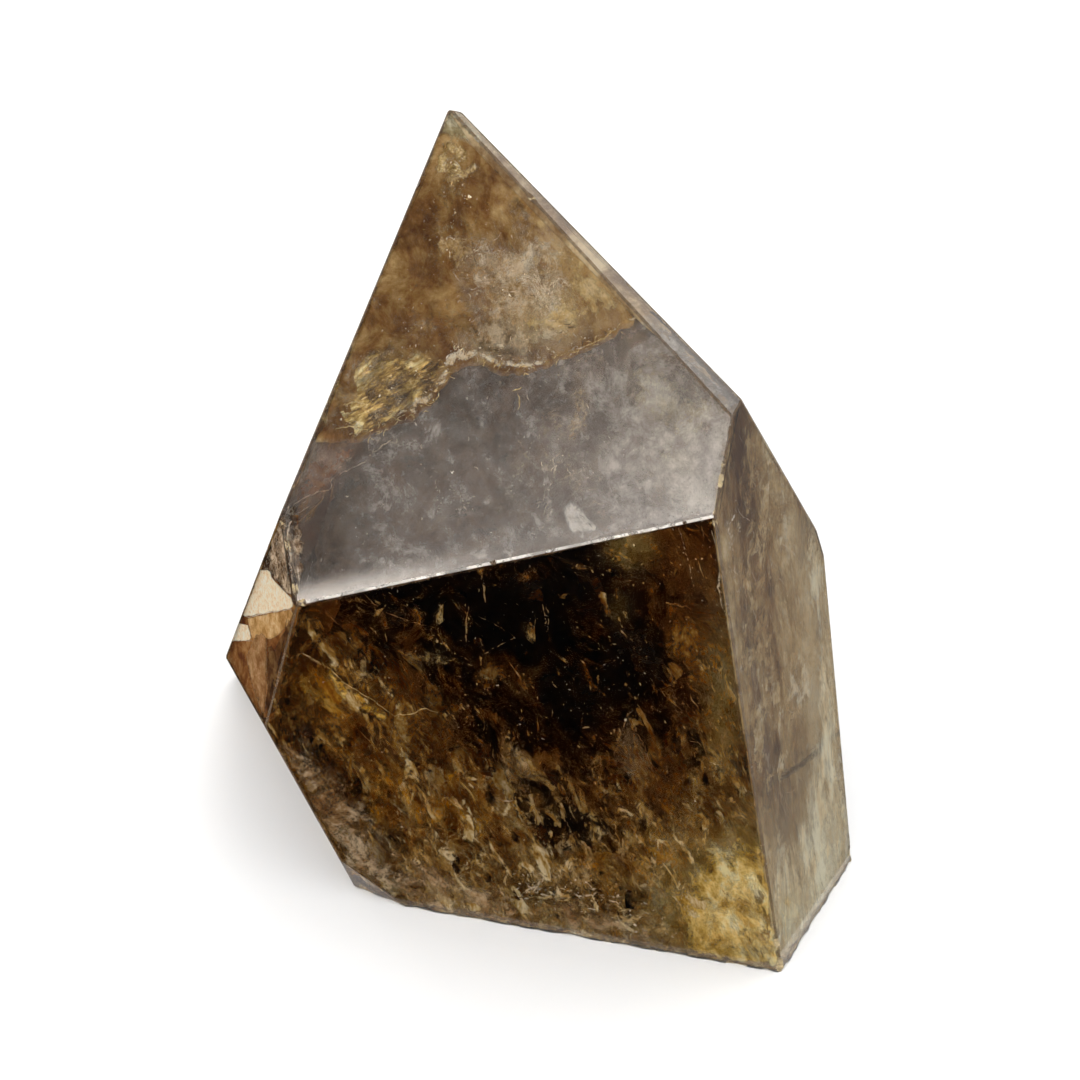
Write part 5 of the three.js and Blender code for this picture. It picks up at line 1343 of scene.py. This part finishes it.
# The softbox that the front slope mirrors. Its Y runs up the slope and its X along
# the slope's lower edge, from right to left; that edge is mirrored at Y = -0.019.
F1_REFLECT = Vector((-0.799, -0.477, 0.369)).normalized()
px_, py_ = Vector((-0.513, 0.859, 0.0)), Vector((0.317, 0.189, 0.93))
sm, N, L = new_mat("softbox_left")
o_ = N.new("ShaderNodeOutputMaterial")
e_ = N.new("ShaderNodeEmission")
e_.inputs["Color"].default_value = (1.0, 0.92, 0.84, 1)
X, Y = xy_of(N, L)
main = math_node(N, L, "MULTIPLY", map_range(N, L, Y, -0.02, 0.036, 1.8, 0.14), map_range(N, L, X, -0.014, 0.030, 1.0, 0.20))
strip = math_node(N, L, "MULTIPLY", map_range(N, L, Y, -0.0197, -0.0144, 11.5, 0.0), map_range(N, L, X, -0.022, 0.022, 0.12, 1.0))
corner = math_node(N, L, "MULTIPLY", map_range(N, L, X, -0.060, -0.018, 2.2, 0.0), map_range(N, L, Y, -0.018, 0.010, 1.0, 0.0))
L.new(math_node(N, L, "ADD", main, math_node(N, L, "ADD", strip, corner)), e_.inputs["Strength"])
L.new(e_.outputs[0], o_.inputs["Surface"])
sm.cycles.emission_sampling = "NONE"
panel("softbox_left", rect(0.5, 0.42), sm,
      axes(px_ * 0.67 - py_ * 0.74, px_ * 0.74 + py_ * 0.67, Vector((-0.02, 0.0, 0.045)) + F1_REFLECT * 0.55))

tm, N, L = new_mat("softbox_top")
o_ = N.new("ShaderNodeOutputMaterial")
e_ = N.new("ShaderNodeEmission")
e_.inputs["Color"].default_value = (1.0, 0.97, 0.93, 1)
e_.inputs["Strength"].default_value = 3.6
L.new(e_.outputs[0], o_.inputs["Surface"])
tm.cycles.emission_sampling = "NONE"
panel("softbox_top", rect(0.6, 0.6), tm, axes((1, 0, 0), (0, 1, 0), (0.22, 0.22, 0.9)))

w = bpy.data.worlds.new("studio")
SC.world = w
w.use_nodes = True
w.cycles.sampling_method = "NONE"
WN, WL = w.node_tree.nodes, w.node_tree.links
bg = WN["Background"]
bg.inputs["Color"].default_value = (1.0, 1.0, 1.0, 1)
bg.inputs["Strength"].default_value = 1.5

# A dark card on the table in front: only the mirror image in the front prism face
# shows it. It thins towards the left, where the face keeps a pale sheen.
ca, sa = math.cos(math.radians(-12.898)), math.sin(math.radians(-12.898))
cm, N, L = new_mat("dark_card")
o_ = N.new("ShaderNodeOutputMaterial")
b_ = N.new("ShaderNodeBsdfDiffuse")
b_.inputs["Color"].default_value = (0.008, 0.008, 0.008, 1)
t_ = N.new("ShaderNodeBsdfTransparent")
X, Y = xy_of(N, L)
q = math_node(N, L, "ADD", math_node(N, L, "MULTIPLY", X, 0.779), math_node(N, L, "MULTIPLY", Y, -0.626))
mx = N.new("ShaderNodeMixShader")
L.new(map_range(N, L, q, -0.008, 0.006, 0.25, 1), mx.inputs["Fac"])
L.new(t_.outputs[0], mx.inputs[1])
L.new(b_.outputs[0], mx.inputs[2])
L.new(mx.outputs[0], o_.inputs["Surface"])
card = panel("dark_card", [(-0.06, -0.11), (0.045, -0.11), (0.045, -0.0231), (-0.06, -0.0231)], cm, axes((ca, sa, 0), (-sa, ca, 0), (0, 0, 0.0005)))
card.visible_diffuse = card.visible_shadow = card.visible_transmission = False

# Two grey cards on the table, at the right and the left, that only the mirror
# images in the side facets show. The right one leaves a bright strip along the ridge.
def side_card(name, corners, dark, direction=None, lo=0.0, hi=1.0):
    cm, N, L = new_mat(name)
    o_ = N.new("ShaderNodeOutputMaterial")
    b_ = N.new("ShaderNodeBsdfDiffuse")
    b_.inputs["Color"].default_value = (0.02, 0.02, 0.02, 1)
    t_ = N.new("ShaderNodeBsdfTransparent")
    mx = N.new("ShaderNodeMixShader")
    if direction:
        X, Y = xy_of(N, L)
        q = math_node(N, L, "ADD", math_node(N, L, "MULTIPLY", X, direction[0]), math_node(N, L, "MULTIPLY", Y, direction[1]))
        L.new(map_range(N, L, q, lo, hi, 0, dark), mx.inputs["Fac"])
    else:
        mx.inputs["Fac"].default_value = dark
    L.new(t_.outputs[0], mx.inputs[1])
    L.new(b_.outputs[0], mx.inputs[2])
    L.new(mx.outputs[0], o_.inputs["Surface"])
    c = panel(name, corners, cm, axes((1, 0, 0), (0, 1, 0), (0, 0, 0.0005)))
    c.visible_diffuse = c.visible_shadow = c.visible_transmission = False


side_card("grey_card_right", [(0.0225, -0.0310), (0.1215, 0.0113), (0.1215, 0.0600), (0.045, 0.030), (0.0310, -0.0120)], 0.8)
side_card("grey_card_left", [(-0.11, -0.065), (-0.046, -0.065), (-0.046, -0.03), (-0.034, -0.03), (-0.034, 0.05), (-0.11, 0.05)], 1.0)

SC.view_settings.view_transform = "Standard"
SC.view_settings.look = "None"
SC.view_settings.exposure = 0.0
SC.view_settings.gamma = 1.0
SC.cycles.max_bounces = 14
SC.cycles.transmission_bounces = 12
SC.cycles.glossy_bounces = 6
SC.cycles.diffuse_bounces = 3
SC.cycles.transparent_max_bounces = 32
SC.cycles.sample_clamp_indirect = 8.0
